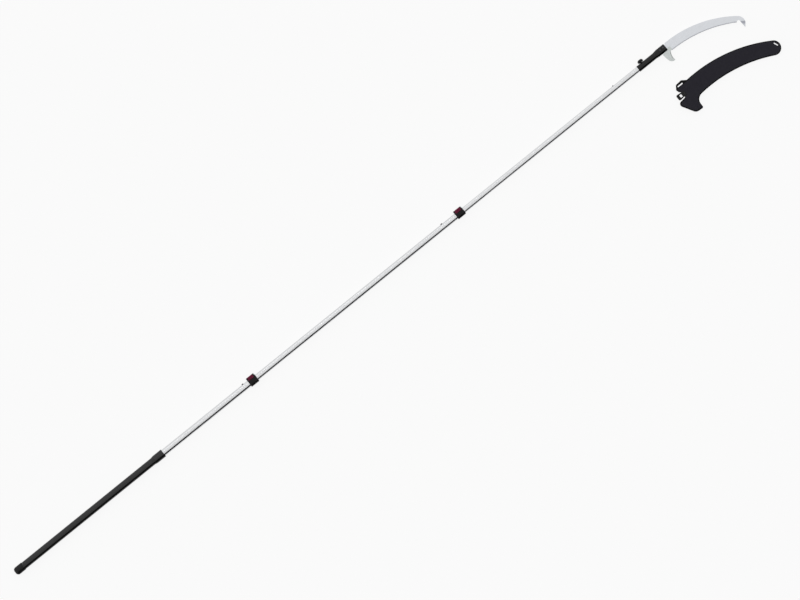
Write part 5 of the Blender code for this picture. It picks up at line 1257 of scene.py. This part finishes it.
plate = head_skin("jaw_top_plate")
clear(plate, (HEAD_X - BEYOND, -BEYOND, -BEYOND), (HEAD_X + JAW_START + GAP, BEYOND, BEYOND))
clear(plate, (HEAD_X, -BEYOND, -BEYOND), (far, JAW_SHIFT + JAW[0] / 2 - JAW_LIP, PLATE_LEVEL))
clear(plate, (HEAD_X, 0, -BEYOND), (far, BEYOND, -BLADE_HALF))
dress(shade(drill_jaw(plate)), [black_enamel], "head", "black_plastic", "jaw_plate")

# %% [markdown]
# ## Bolts and nuts
# The two bolts are equal, and so are their nuts. One of each is turned or cut, and a small tree
# puts it in a row, which keeps both copies truly the same.

# %% Bolts and nuts, by a tree that repeats one turned piece
BOLT_HEAD, BOLT_HEAD_HEIGHT, BOLT_CROWN = 5.2 * MM, 3.2 * MM, 1.8 * MM
BOLT_SHANK, BOLT_END, BOLT_POINT, BOLT_OUT = 3 * MM, 2.6 * MM, 0.4 * MM, 4.5 * MM
BOLT_KEY, BOLT_KEY_DEPTH = 2.3 * MM, 1.8 * MM
NUT_RADIUS, NUT_HOLE, NUT_EDGE = 5.6 * MM, 3.3 * MM, 0.3 * MM

repeat_row, given, result = piece_tree(
    "repeat_row", Piece=OBJECT, Count=COUNT, Start=VECTOR, Spacing=VECTOR, Finish=FINISH)
spots = add(repeat_row, "GeometryNodeMeshLine", given["Count"], Start_Location=given["Start"],
            Offset=given["Spacing"]).outputs[0]
single = add(repeat_row, "GeometryNodeObjectInfo", given["Piece"]).outputs["Geometry"]
row = add(repeat_row, "GeometryNodeInstanceOnPoints", spots, Instance=single).outputs[0]
hand_over(repeat_row, row, given, result)


def repeat_at_bolts(name, single_piece):
    """The same piece at both bolts as one plain mesh, and the single one thrown away."""
    piece = grow_piece(name, repeat_row, Piece=single_piece, Count=2, Start=(BOLT_XS[0], BOLT_Y, 0),
                       Spacing=(BOLT_XS[1] - BOLT_XS[0], 0, 0), Finish=dark_steel)
    bpy.data.objects.remove(single_piece)
    return piece


jaw_top, jaw_bottom = JAW[1] / 2 + GAP, -JAW[1] / 2 - GAP
bolt_end, head_top = jaw_bottom - BOLT_OUT, jaw_top + BOLT_HEAD_HEIGHT
bolt = lathe("bolt", crowned(BOLT_HEAD, head_top, BOLT_CROWN) + [
    (BOLT_HEAD, jaw_top), (BOLT_SHANK, jaw_top), (BOLT_SHANK, bolt_end + BOLT_POINT), (BOLT_END, bolt_end),
    (0, bolt_end)], steps=36)
drill(bolt, BOLT_KEY, head_top - BOLT_KEY_DEPTH, BEYOND, steps=6)
bolts = repeat_at_bolts("jaw_bolts", bolt)
dress(shade(bolts), [dark_steel], "head", "dark_steel", "blade_bolt_1", "blade_bolt_2")
nut = prism("nut", [circle(NUT_RADIUS, 6), circle(NUT_HOLE, 32)], bolt_end, jaw_bottom)
nuts = repeat_at_bolts("jaw_nuts", soften(nut, NUT_EDGE, 2))
dress(shade(nuts), [dark_steel], "head", "dark_steel", "blade_nut_1", "blade_nut_2")

# %% [markdown]
# ## Head knob
# The knob is a black plastic moulding with ten shallow lobes for the fingers, a waist, and a
# dished top. Each ring of its profile says how much of the lobes it shows: none at the neck and
# in the dish, all at the widest place.

# %% Head knob
KNOB_LOBES, LOBE_DEPTH = 10, 0.8 * MM
KNOB_HEIGHT, KNOB_NECK, NECK_RADIUS, KNOB_RADIUS = 17.9 * MM, 0.8 * MM, 10.5 * MM, 16.5 * MM
KNOB_WAIST, KNOB_FOOT, KNOB_DISH = 6.7 * MM, 14.0 * MM, 5.0 * MM
DISH_SLOPE, DISH_DEPTH = 0.8 * MM, 0.6 * MM
STUD_GRIP = 9.3 * MM

profile = [(0, STUD_GRIP), (STUD_CLEARANCE, STUD_GRIP), (STUD_CLEARANCE, 0), (NECK_RADIUS, 0),
           (NECK_RADIUS, KNOB_NECK)]
for sine, cosine in quarter_turn(8):
    radius = KNOB_FOOT + (KNOB_RADIUS - KNOB_FOOT) * sine
    profile.append((radius, KNOB_WAIST - (KNOB_WAIST - KNOB_NECK) * cosine, sine))
for sine, cosine in quarter_turn(12, 1):
    radius = KNOB_DISH + (KNOB_RADIUS - KNOB_DISH) * cosine
    profile.append((radius, KNOB_WAIST + (KNOB_HEIGHT - KNOB_WAIST) * sine, cosine))
profile += [(KNOB_DISH - DISH_SLOPE, KNOB_HEIGHT - DISH_DEPTH), (0, KNOB_HEIGHT - DISH_DEPTH)]
at_knob = turn_and_move(TO_SPINE, (KNOB_X, crest + KNOB_BOSS + GAP, 0))
knob = lathe("lobed_knob", profile, at_knob, steps=120, lobes=KNOB_LOBES, lobe_depth=LOBE_DEPTH)
dress(shade(knob), [black_plastic], "knob", "black_plastic", "head_knob")

# %% [markdown]
# ## Saw blade
# The blade is a thin curved plate with a hooked tip, cut from sheet steel. Its outline is drawn
# from the arcs of its spine and its toothed edge, so that it keeps one smooth curve. The teeth are
# made apart from it.

# %% Blade plate
SPINE_RADIUS, SPINE_CREST = 632.0 * MM, 20.3 * MM
TOOTH_START, TOOTH_END, TOOTH_PITCH, TOOTH_DEPTH = 2.0 * MM, 362.5 * MM, 4.6 * MM, 3.2 * MM
TOOTH_RAKE = 0.72
HOOK_START, HOOK_RADIUS, HOOK_INNER, HOOK_END = 387.5 * MM, 43.0 * MM, 380.0 * MM, math.radians(-22)
THROAT_RISE, CLAW_LENGTH, CLAW_LEAN, CLAW_FILLET, THROAT_FILLET = 6 * MM, 53 * MM, 3 * MM, 7 * MM, 2 * MM
TANG_HALF, HEEL_OFFSET, HEEL_FILLET, TANG_CORNER = 15.5 * MM, 7.0 * MM, 4 * MM, 3 * MM
BLADE_EDGE = 0.18 * MM
BLADE_SHIFT = BLADE_CENTRE_X - HEAD_X

local_tooth_centre = (0, TOOTH_CENTRE[1])
gullet_radius = TOOTH_ARC_RADIUS + TOOTH_DEPTH
edge_end = math.acos(TOOTH_END / TOOTH_ARC_RADIUS)
edge_start = math.acos(TOOTH_START / TOOTH_ARC_RADIUS)
tooth_count = round((edge_start - edge_end) * TOOTH_ARC_RADIUS / TOOTH_PITCH)
tooth_step = (edge_start - edge_end) / tooth_count
heel = HEAD_LENGTH + HEEL_OFFSET - BLADE_SHIFT
tang = JAW_START + 2 * GAP - BLADE_SHIFT
spine_centre = (0, SPINE_CREST - SPINE_RADIUS)
hook_angle = math.acos(HOOK_START / SPINE_RADIUS)
spine = arc(spine_centre, SPINE_RADIUS, math.acos(heel / SPINE_RADIUS), hook_angle, 48)
hook_centre = on_circle(spine_centre, SPINE_RADIUS - HOOK_RADIUS, hook_angle)
hook = arc(hook_centre, HOOK_RADIUS, hook_angle, HOOK_END, 24)[1:]
edge_point = on_circle(local_tooth_centre, TOOTH_ARC_RADIUS, edge_end)
throat = edge_point[1] + THROAT_RISE
claw = rounded([(HOOK_INNER + CLAW_LEAN, throat - CLAW_LENGTH, 0), (HOOK_INNER, throat, CLAW_FILLET),
                (edge_point[0] + CLAW_LEAN, throat, THROAT_FILLET), (*edge_point, 0)], closed=False)
gullets = arc(local_tooth_centre, gullet_radius, edge_end + tooth_step * 0.3, edge_start, 64)
foot = rounded([(*gullets[-1], 0), (heel, -TOOTH_CREST + TOOTH_DEPTH, HEEL_FILLET), (heel, -TANG_HALF, 0),
                (tang, -TANG_HALF, TANG_CORNER), (tang, TANG_HALF, TANG_CORNER), (heel, TANG_HALF, 0)],
               closed=False)[1:]
saw = prism("saw_plate", [spine + hook + claw + gullets + foot], -BLADE_HALF, BLADE_HALF,
            turn_and_move(place=(BLADE_CENTRE_X, 0, 0)))
dress(shade(soften(drill_jaw(saw), BLADE_EDGE, 1)), [blade_steel], "head", "blade_steel", "blade")
print("teeth:", tooth_count, "pitch in degrees:", round(math.degrees(tooth_step), 3))

# %% [markdown]
# ## Teeth
# The 82 teeth all follow the tooth arc, so a Geometry Nodes tree lays them out: one filed tooth,
# turned about the arc's centre by the pitch, each second one mirrored as on a real saw, where the
# file came from the other side.

# %% One filed tooth, and the tree that lays out all of them
TOOTH_BASE, TOOTH_LAND = 0.3 * MM, 0.1 * MM

tooth = bmesh.new()
tip_at = (0.5 - TOOTH_RAKE) * TOOTH_PITCH
corners = [(-TOOTH_PITCH / 2, TOOTH_BASE), (TOOTH_PITCH / 2, TOOTH_BASE)]
low_side = [tooth.verts.new((x, y, -BLADE_HALF)) for x, y in corners]
high_side = [tooth.verts.new((x, y, BLADE_HALF)) for x, y in corners]
tips = [tooth.verts.new((tip_at, -TOOTH_DEPTH, level)) for level in (BLADE_HALF, TOOTH_LAND)]
tooth.faces.new((low_side[0], low_side[1], tips[1]))
tooth.faces.new((high_side[0], high_side[1], tips[0]))
tooth.faces.new((low_side[0], high_side[0], tips[0], tips[1]))
tooth.faces.new((low_side[1], high_side[1], tips[0], tips[1]))
tooth.faces.new((low_side[0], low_side[1], high_side[1], high_side[0]))
one_tooth = new_piece("one_tooth", tooth)

saw_teeth, given, result = piece_tree(
    "saw_teeth", Tooth=OBJECT, Count=COUNT, Arc_Radius=NUMBER, First_Angle=NUMBER, Step_Angle=NUMBER,
    Centre=VECTOR, Finish=FINISH)
number = add(saw_teeth, "GeometryNodeInputIndex").outputs[0]
angle = sums(saw_teeth, "MULTIPLY_ADD", number, given["Step Angle"], given["First Angle"])
reach = [sums(saw_teeth, "MULTIPLY", sums(saw_teeth, way, angle), given["Arc Radius"])
         for way in ("COSINE", "SINE")]
offset = add(saw_teeth, "ShaderNodeCombineXYZ", *reach).outputs[0]
where = vectors(saw_teeth, "ADD", offset, given["Centre"])[0]
spots = add(saw_teeth, "GeometryNodePoints", given["Count"], where).outputs[0]
lean = sums(saw_teeth, "SUBTRACT", angle, math.pi / 2)
turn = add(saw_teeth, "ShaderNodeCombineXYZ", 0.0, 0.0, lean).outputs[0]
odd = sums(saw_teeth, "MODULO", number, 2.0)
mirror = sums(saw_teeth, "MULTIPLY_ADD", odd, -2.0, 1.0)
side = add(saw_teeth, "ShaderNodeCombineXYZ", 1.0, 1.0, mirror).outputs[0]
single = add(saw_teeth, "GeometryNodeObjectInfo", given["Tooth"]).outputs["Geometry"]
row = add(saw_teeth, "GeometryNodeInstanceOnPoints", spots, Instance=single, Rotation=turn, Scale=side)
hand_over(saw_teeth, row.outputs[0], given, result)

teeth = grow_piece("saw_teeth", saw_teeth, Tooth=one_tooth, Count=tooth_count, Arc_Radius=gullet_radius,
                   First_Angle=edge_end + tooth_step / 2, Step_Angle=tooth_step,
                   Centre=(*TOOTH_CENTRE, 0), Finish=blade_steel)
bpy.data.objects.remove(one_tooth)
dress(shade(teeth, 20), [blade_steel], "head", "blade_steel", "blade")

# %% [markdown]
# ## Sickle
# The under-cut knife has a hollow edge, ground thin on both sides. Its plate stops at a line that
# lies a few millimetres inside that edge, and a wedge of its own goes on from there to the sharp
# edge, so the ground face can have its own, darker finish.

# %% Sickle plate and ground edge
GROUND_WIDTH, GROUND_IN, GROUND_OUT = 5.0 * MM, 0.35, 0.15
LEAST_GROUND, OVERLAP = 0.02, 0.02
SICKLE_TIP = (HEAD_LENGTH - 1.2 * MM, -85.7 * MM)
SICKLE_FOOT = (SICKLE_TIP[0] + 9.5 * MM, -TOOTH_CREST + TOOTH_DEPTH)
SICKLE_SHOULDER = (HEAD_LENGTH - 31.4 * MM, -62.6 * MM)
SICKLE_BACK = (HEAD_LENGTH - 37 * MM, -TANG_HALF)
SICKLE_TANG_END, SICKLE_NECK, SICKLE_LUG = HEAD_LENGTH - 44 * MM, HEAD_LENGTH - 7 * MM, HEAD_LENGTH + 21 * MM
LUG_TOP, NECK_TOP, LUG_CORNER = -9 * MM, 11 * MM, 7 * MM
EDGE_HOLLOW, BACK_RADIUS, BELLY_RADIUS = -68 * MM, 140 * MM, 27 * MM
SHARPNESS = 0.1 * MM

edge = bow(SICKLE_TIP, SICKLE_FOOT, EDGE_HOLLOW, 24)
inset = []
for index, (x, y) in enumerate(edge):
    share = index / (len(edge) - 1)
    heading = bearing(edge[max(index - 1, 0)], edge[min(index + 1, len(edge) - 1)])
    depth = GROUND_WIDTH * min(1.0, share / GROUND_IN, (1 - share) / GROUND_OUT + LEAST_GROUND)
    inset.append((x - depth * math.sin(heading), y + depth * math.cos(heading)))
lug = rounded([(*edge[-1], 0), (SICKLE_LUG, SICKLE_FOOT[1], LUG_CORNER), (SICKLE_LUG, LUG_TOP, LUG_CORNER),
               (SICKLE_NECK, LUG_TOP, 0), (SICKLE_NECK, NECK_TOP, TANG_CORNER),
               (SICKLE_TANG_END, NECK_TOP, TANG_CORNER), (SICKLE_TANG_END, -TANG_HALF, TANG_CORNER),
               (*SICKLE_BACK, 0)], closed=False)[1:-1]
back = bow(SICKLE_BACK, SICKLE_SHOULDER, BACK_RADIUS, 20)
belly = bow(SICKLE_SHOULDER, SICKLE_TIP, BELLY_RADIUS, 20)[1:-1]
to_head = turn_and_move(place=(HEAD_X, 0, 0))
sickle_top = SICKLE_LEVEL + SICKLE_THICKNESS
outline = inset[1:] + lug + back + belly + [SICKLE_TIP]
sickle = prism("sickle_plate", [outline], SICKLE_LEVEL, sickle_top, to_head)
dress(shade(drill_jaw(sickle)), [sickle_steel], "head", "sickle_steel", "sickle")

wedge = bmesh.new()
middle = SICKLE_LEVEL + SICKLE_THICKNESS / 2
rows = []
for (ex, ey), (ix, iy) in list(zip(edge, inset))[1:]:
    near = (ix + (ix - ex) * OVERLAP, iy + (iy - ey) * OVERLAP)
    section = ((*near, sickle_top), (ex, ey, middle + SHARPNESS),
               (ex, ey, middle - SHARPNESS), (*near, SICKLE_LEVEL))
    rows.append([wedge.verts.new(point) for point in section])
skin(wedge, rows)
wedge.faces.new(rows[0])
wedge.faces.new(rows[-1])
wedge = new_piece("sickle_ground_edge", wedge, to_head)
dress(shade(wedge, 20), [ground_edge], "head", "sickle_steel", "sickle")

# %% [markdown]
# ## Sheath
# Two moulded halves meet in a flat rim with rivets, and each has a raised pan with rounded edges.
# The curved sides are long arcs, so both halves are drawn from the same outline: the rim is its
# full width, the pan lies six millimetres inside it, and the pocket inside that.

# %% Sheath outlines
SHEATH = (4386.0 * MM, -253.5 * MM, 0.0)
SHEATH_BOTTOM, SHEATH_TOP = -GROUND, -GROUND + 20.0 * MM
PARTING = SHEATH_BOTTOM + 10.0 * MM
SHEATH_RIM, SHEATH_FLANGE, SHEATH_WALL = 6.0 * MM, 3.0 * MM, 2.2 * MM
UPPER_RADIUS, TIP_RADIUS = 821.0 * MM, 40.5 * MM
UPPER_CENTRE = (117.3 * MM, 48.0 * MM - UPPER_RADIUS)
TIP_REACH, LOWER_ARC_X, LOWER_CREST = 534.5 * MM, 145.6 * MM, 58.0 * MM
LOBE_HEEL, MOUTH_CORNER, MOUTH_DROP = (-3.3 * MM, -122.1 * MM), (-58.0 * MM, -27.4 * MM), 21.2 * MM
LOBE_RIGHT, LOBE_FILLET, LOBE_DROP = 43.6 * MM, 42.0 * MM, 126.0 * MM
LOBE_CORNER, HEEL_CORNER, MOUTH_ROUNDING, LIP_ROUNDING = 9 * MM, 30 * MM, 17.5 * MM, 2 * MM
TAB_FOOT_X, TAB_TOP, TAB_LEFT, TAB_ROOT = 64.0 * MM, 61.0 * MM, 2.0 * MM, 12.0 * MM
TAB_BELOW, TAB_CORNER = TAB_ROOT - 3 * MM, 8 * MM


def height_on_circle(centre, radius, x):
    """The upper y of a circle at x."""
    return centre[1] + math.sqrt(radius ** 2 - (x - centre[0]) ** 2)


TIP_CENTRE = (TIP_REACH, height_on_circle(UPPER_CENTRE, UPPER_RADIUS - TIP_RADIUS, TIP_REACH))
along, drop = TIP_REACH - LOWER_ARC_X, -TIP_CENTRE[1] - LOWER_CREST
LOWER_RADIUS = (along ** 2 + drop ** 2 - TIP_RADIUS ** 2) / (2 * (TIP_RADIUS + drop))
LOWER_CENTRE = (LOWER_ARC_X, -LOWER_CREST - LOWER_RADIUS)
MOUTH_ANGLE = math.acos(-UPPER_CENTRE[0] / UPPER_RADIUS)
MOUTH_TOP = UPPER_CENTRE[1] + UPPER_RADIUS * math.sin(MOUTH_ANGLE)
TAB_FOOT = (TAB_FOOT_X, height_on_circle(UPPER_CENTRE, UPPER_RADIUS, TAB_FOOT_X))

tip_start, tip_end = bearing(UPPER_CENTRE, TIP_CENTRE), bearing(TIP_CENTRE, LOWER_CENTRE)
fillet_x = LOBE_RIGHT + LOBE_FILLET
fillet = (fillet_x, height_on_circle(LOWER_CENTRE, LOWER_RADIUS - LOBE_FILLET, fillet_x))
lower_start, lower_end = bearing(LOWER_CENTRE, TIP_CENTRE), bearing(LOWER_CENTRE, fillet)


def sheath_walls(long_steps, tip_steps, corner_steps):
    """The closed edges, from the mouth along the top, round the tip and back to the heel."""
    path = arc(UPPER_CENTRE, UPPER_RADIUS, MOUTH_ANGLE, tip_start, long_steps)
    path += arc(TIP_CENTRE, TIP_RADIUS, tip_start, tip_end, tip_steps)[1:]
    path += arc(LOWER_CENTRE, LOWER_RADIUS, lower_start, lower_end, long_steps)[1:]
    path += arc(fillet, LOBE_FILLET, lower_end, math.pi, corner_steps)[1:]
    return path + rounded([(*path[-1], 0), (LOBE_RIGHT, -LOBE_DROP, LOBE_CORNER), (*LOBE_HEEL, HEEL_CORNER),
                           (*MOUTH_CORNER, 0)], False, corner_steps)[1:-1]


def sheath_mouth(corner_steps):
    """The open edge, from the heel up to the top edge."""
    return rounded([(*LOBE_HEEL, 0), (*MOUTH_CORNER, MOUTH_ROUNDING), (0, -MOUTH_DROP, LIP_ROUNDING),
                    (0, MOUTH_TOP, 0)], False, corner_steps)[1:-1]


walls, mouth = sheath_walls(48, 32, 12), sheath_mouth(10)
share = SHEATH_RIM / math.dist(walls[-1], mouth[0])
open_start = tuple(here + (there - here) * share for here, there in zip(walls[-1], mouth[0]))
pan_outline = inset_path(walls, SHEATH_RIM) + inset_path([open_start] + mouth, GAP)
tab = rounded([(0, TAB_BELOW, 0), (0, TAB_ROOT, 2 * MM), (-10.3 * MM, 22.5 * MM, 3 * MM),
               (-14.1 * MM, 38 * MM, 5 * MM), (TAB_LEFT, TAB_TOP, TAB_CORNER),
               (TAB_LEFT + 37.5 * MM, TAB_TOP + 3 * MM, TAB_CORNER), (*TAB_FOOT, 0)], closed=False)
print("sheath outline:", len(walls) + len(mouth) + len(tab), "points, lower radius", round(LOWER_RADIUS, 3))

# %% [markdown]
# ## Places of rivets and slots
# Five rivets close the rim, three along the top and two along the bottom, and a sixth holds the
# rubber loop. Each is placed as a share of its arc. The belt slot lies in the tab, the tip slot
# across the sheath's end.

# %% Places of rivets and slots
TOP_RIVETS, BOTTOM_RIVETS = (0.2, 0.58, 0.96), (0.18, 0.85)
LOOP_DROP = 1.6 * MM
LOOP_RIVET = (10 * MM, -LOOP_DROP)
SHEATH_RIVET_HOLE = 1.8 * MM
BELT_SLOT, TIP_SLOT = slot_outline(34 * MM, 6.5 * MM), slot_outline(27 * MM, 7.2 * MM)
TIP_SLOT_REACH, TIP_SLOT_BEARING, TIP_SLOT_TURN = 23.3 * MM, math.radians(22), -68

rivet_spots = [
    on_circle(UPPER_CENTRE, UPPER_RADIUS - SHEATH_RIM / 2, MOUTH_ANGLE + (tip_start - MOUTH_ANGLE) * share)
    for share in TOP_RIVETS]
rivet_spots += [
    on_circle(LOWER_CENTRE, LOWER_RADIUS + SHEATH_RIM / 2, lower_start + (math.pi / 2 - lower_start) * share)
    for share in BOTTOM_RIVETS]
belt_place = turn_and_move(place=(20 * MM, TAB_TOP - 14.25 * MM, 0))
tip_slot_place = turn_and_move(
    (0, 0, TIP_SLOT_TURN), (*on_circle(TIP_CENTRE, TIP_SLOT_REACH, TIP_SLOT_BEARING), 0))
print("rivets:", len(rivet_spots) + 1)

# %% [markdown]
# ## Raised pan
# The pan is the part of each half that bulges out to hold the blade. A bevel would fail at its
# tight corners, so its rounded edge is a skin through copies of the outline that are drawn in
# step by step.

# %% The raised pan
def drawn_in(outline, amount):
    """A closed outline moved to its right, point by point."""
    befores, afters = outline[-1:] + outline[:-1], outline[1:] + outline[:1]
    return [moved_right(here, bearing(before, here), bearing(here, after), amount)
            for before, here, after in zip(befores, outline, afters)]


def rounded_pan(name, outline, low, high, rounding, steps=4):
    """A flat body from low to high, with a rounded edge at high."""
    away = math.copysign(1, high - low)
    levels = [(0, low)]
    levels += [(rounding * (1 - cosine), high - away * rounding * (1 - sine))
               for sine, cosine in quarter_turn(steps)]
    return loft(name, [[(x, y, level) for x, y in drawn_in(outline, inset)] for inset, level in levels])


def painted(piece, index):
    """Give every face of a piece one of the sheath's two finishes, before it is joined."""
    for material in (sheath_rim, sheath_plastic):
        piece.data.materials.append(material)
    piece.data.polygons.foreach_set("material_index", [index] * len(piece.data.polygons))
    return piece


print("pan outline:", len(pan_outline), "points")

# %% [markdown]
# ## Shells
# Each half is its flat rim with the pan joined to it, hollowed by the blade's pocket, and cut
# through for the slots and rivets. The upper half also has a bead along its open edge and a
# thicker web on the belt tab. Rim and bead are a blacker finish than the rest, as in the
# photograph.

# %% Two shells
RIM, BODY = 0, 1
RIM_EDGE, PAN_EDGE = 0.6 * MM, 2.5 * MM
LIP_WIDTH, LIP_INSET, LIP_END, LIP_FROM = 6.0 * MM, GAP + 0.2 * MM, -4 * MM, -20 * MM
LIP_DEPTH, LIP_HEIGHT, WEB_DEPTH, WEB_HEIGHT, RIDGE_EDGE = 1.5 * MM, 0.8 * MM, 1 * MM, 1.2 * MM, 0.5 * MM


def lip_on_open_edge(face):
    """A blacker bead along the diagonal open edge and round the mouth's corner."""
    climb = (MOUTH_CORNER[1] + MOUTH_DROP) / MOUTH_CORNER[0]
    corner = [point for point in mouth if point[0] < LIP_FROM]
    path = [open_start] + corner + [(LIP_END, -MOUTH_DROP + climb * LIP_END)]
    outer, inner = inset_path(path, LIP_INSET), inset_path(path, LIP_INSET + LIP_WIDTH)
    lip = prism("lip", [outer + inner[::-1]], face - LIP_DEPTH, face + LIP_HEIGHT)
    return painted(soften(lip, RIDGE_EDGE, 2), RIM)


def web_on_tab(level):
    """The thicker web between the pan and the belt slot."""
    outline = rounded([(-6.5 * MM, 23.5 * MM, 2 * MM), (-0.6 * MM, 17.5 * MM, 1 * MM), (4 * MM, 32 * MM, 0),
                       (47 * MM, 38 * MM, 0), (47 * MM, 41.5 * MM, 1 * MM), (2 * MM, 39.5 * MM, 2 * MM),
                       (-9.5 * MM, 36.5 * MM, 3 * MM)])
    web = prism("web", [outline], level - WEB_DEPTH, level + WEB_HEIGHT)
    return painted(soften(web, RIDGE_EDGE, 2), BODY)


def make_shell(name, side, node):
    parting, face = PARTING + side * GAP / 2, SHEATH_TOP if side > 0 else SHEATH_BOTTOM
    past_foot = [point for point in walls if point[0] > TAB_FOOT_X or point[1] < 0]
    levels = sorted((parting, parting + side * SHEATH_FLANGE))
    shell = painted(soften(prism(name, [tab + past_foot + mouth], *levels), RIM_EDGE, 2), RIM)
    join(shell, painted(rounded_pan("pan", pan_outline, parting + side * GAP / 2, face, PAN_EDGE), BODY))
    if side > 0:
        join(shell, lip_on_open_edge(face))
        join(shell, web_on_tab(parting + SHEATH_FLANGE))
    edge = inset_path(walls, SHEATH_RIM + SHEATH_WALL)
    outside, end_wall = 2 * MOUTH_CORNER[0], GAP + SHEATH_WALL
    pocket = [(end_wall, edge[0][1])] + edge[1:]
    pocket += [(outside, edge[-1][1]), (outside, TAB_BELOW), (end_wall, TAB_BELOW)]
    punch(shell, pocket, *sorted((face - side * SHEATH_WALL, parting - side * SHEATH_FLANGE)))
    punch(shell, BELT_SLOT, -BEYOND, BEYOND, belt_place)
    punch(shell, TIP_SLOT, -BEYOND, BEYOND, tip_slot_place)
    for x, y in rivet_spots:
        drill(shell, SHEATH_RIVET_HOLE, -BEYOND, BEYOND, turn_and_move(place=(x, y, 0)), 16)
    if side > 0:
        drill(shell, SHEATH_RIVET_HOLE, -SHEATH_FLANGE, BEYOND, turn_and_move(place=(*LOOP_RIVET, 0)), 16)
    shell.data.transform(turn_and_move(place=SHEATH))
    dress(shade(shell), [sheath_rim, sheath_plastic], "sheath", "sheath_plastic", node)


make_shell("sheath_upper_half", 1, "sheath_front_shell")
make_shell("sheath_lower_half", -1, "sheath_back_shell")

# %% [markdown]
# ## Loop and rivets
# A flat rubber loop on the mouth holds the blade in. The rivets have low round heads on both
# sides. A tree copies one turned rivet to the five marks on the rim, and the loop's own, longer
# rivet is turned by itself.

# %% Loop and rivets
LOOP_THICKNESS, LOOP_EDGE = 3 * MM, 0.8 * MM
LOOP_RING = [(-36 * MM, -18 * MM, 8 * MM), (16 * MM, -12 * MM, 4 * MM), (16 * MM, 12 * MM, 4 * MM),
             (-36 * MM, 18 * MM, 8 * MM)]
LOOP_HOLE = [(x * 6.15 * MM - 13.5 * MM, y * 7.65 * MM, 3 * MM)
             for x, y in ((-1, -1), (1, -1), (1, 1), (-1, 1))]
RIVET_HEAD, RIVET_SHANK, RIVET_PROUD, RIVET_EDGE = 2.4 * MM, 1.5 * MM, 0.9 * MM, 0.7 * MM

loop_level = SHEATH_TOP + GAP
to_loop = turn_and_move(place=(SHEATH[0], SHEATH[1] - LOOP_DROP, 0))
to_rivet = turn_and_move(place=(SHEATH[0] + LOOP_RIVET[0], SHEATH[1] + LOOP_RIVET[1], 0))
loop = prism("rubber_loop", [rounded(LOOP_RING), rounded(LOOP_HOLE)], loop_level, loop_level + LOOP_THICKNESS,
             to_loop)
soften(loop, LOOP_EDGE, 3)
drill(loop, SHEATH_RIVET_HOLE, -GROUND, GROUND, to_rivet, 16)
dress(shade(loop), [black_rubber], "sheath", "black_rubber", "retaining_loop")


def rivet_profile(low, high):
    """A rivet with a head on each side of a stack from low to high."""
    top, bottom = high + GAP, low - GAP
    upper = crowned(RIVET_HEAD, top + RIVET_PROUD, RIVET_EDGE)
    shank = [(RIVET_HEAD, top), (RIVET_SHANK, top), (RIVET_SHANK, bottom), (RIVET_HEAD, bottom)]
    return upper + shank + [(radius, top + bottom - height) for radius, height in reversed(upper)]


rivet_ring, given, result = piece_tree("rivets_on_points", Rivet=OBJECT, Spots=OBJECT, Finish=FINISH)
spots = add(rivet_ring, "GeometryNodeObjectInfo", given["Spots"]).outputs["Geometry"]
single = add(rivet_ring, "GeometryNodeObjectInfo", given["Rivet"]).outputs["Geometry"]
row = add(rivet_ring, "GeometryNodeInstanceOnPoints", spots, Instance=single).outputs[0]
hand_over(rivet_ring, row, given, result)

reach = GAP / 2 + SHEATH_FLANGE
one_rivet = lathe("one_rivet", rivet_profile(PARTING - reach, PARTING + reach), steps=24)
marks = bpy.data.meshes.new("rivet_marks")
marks.from_pydata([(SHEATH[0] + x, SHEATH[1] + y, 0) for x, y in rivet_spots], [], [])
mark_holder = bpy.data.objects.new("rivet_marks", marks)
bpy.context.scene.collection.objects.link(mark_holder)
rivets = grow_piece("rim_rivets", rivet_ring, Rivet=one_rivet, Spots=mark_holder, Finish=dark_steel)
for helper in (one_rivet, mark_holder):
    bpy.data.objects.remove(helper)
rim_nodes = [f"sheath_rivet_{number}" for number in range(1, 6)]
dress(shade(rivets), [dark_steel], "sheath", "dark_steel", *rim_nodes)
profile = rivet_profile(SHEATH_TOP - SHEATH_WALL, loop_level + LOOP_THICKNESS)
loop_rivet = lathe("loop_rivet_turned", profile, to_rivet, 24)
dress(shade(loop_rivet), [dark_steel], "sheath", "dark_steel", "loop_rivet")
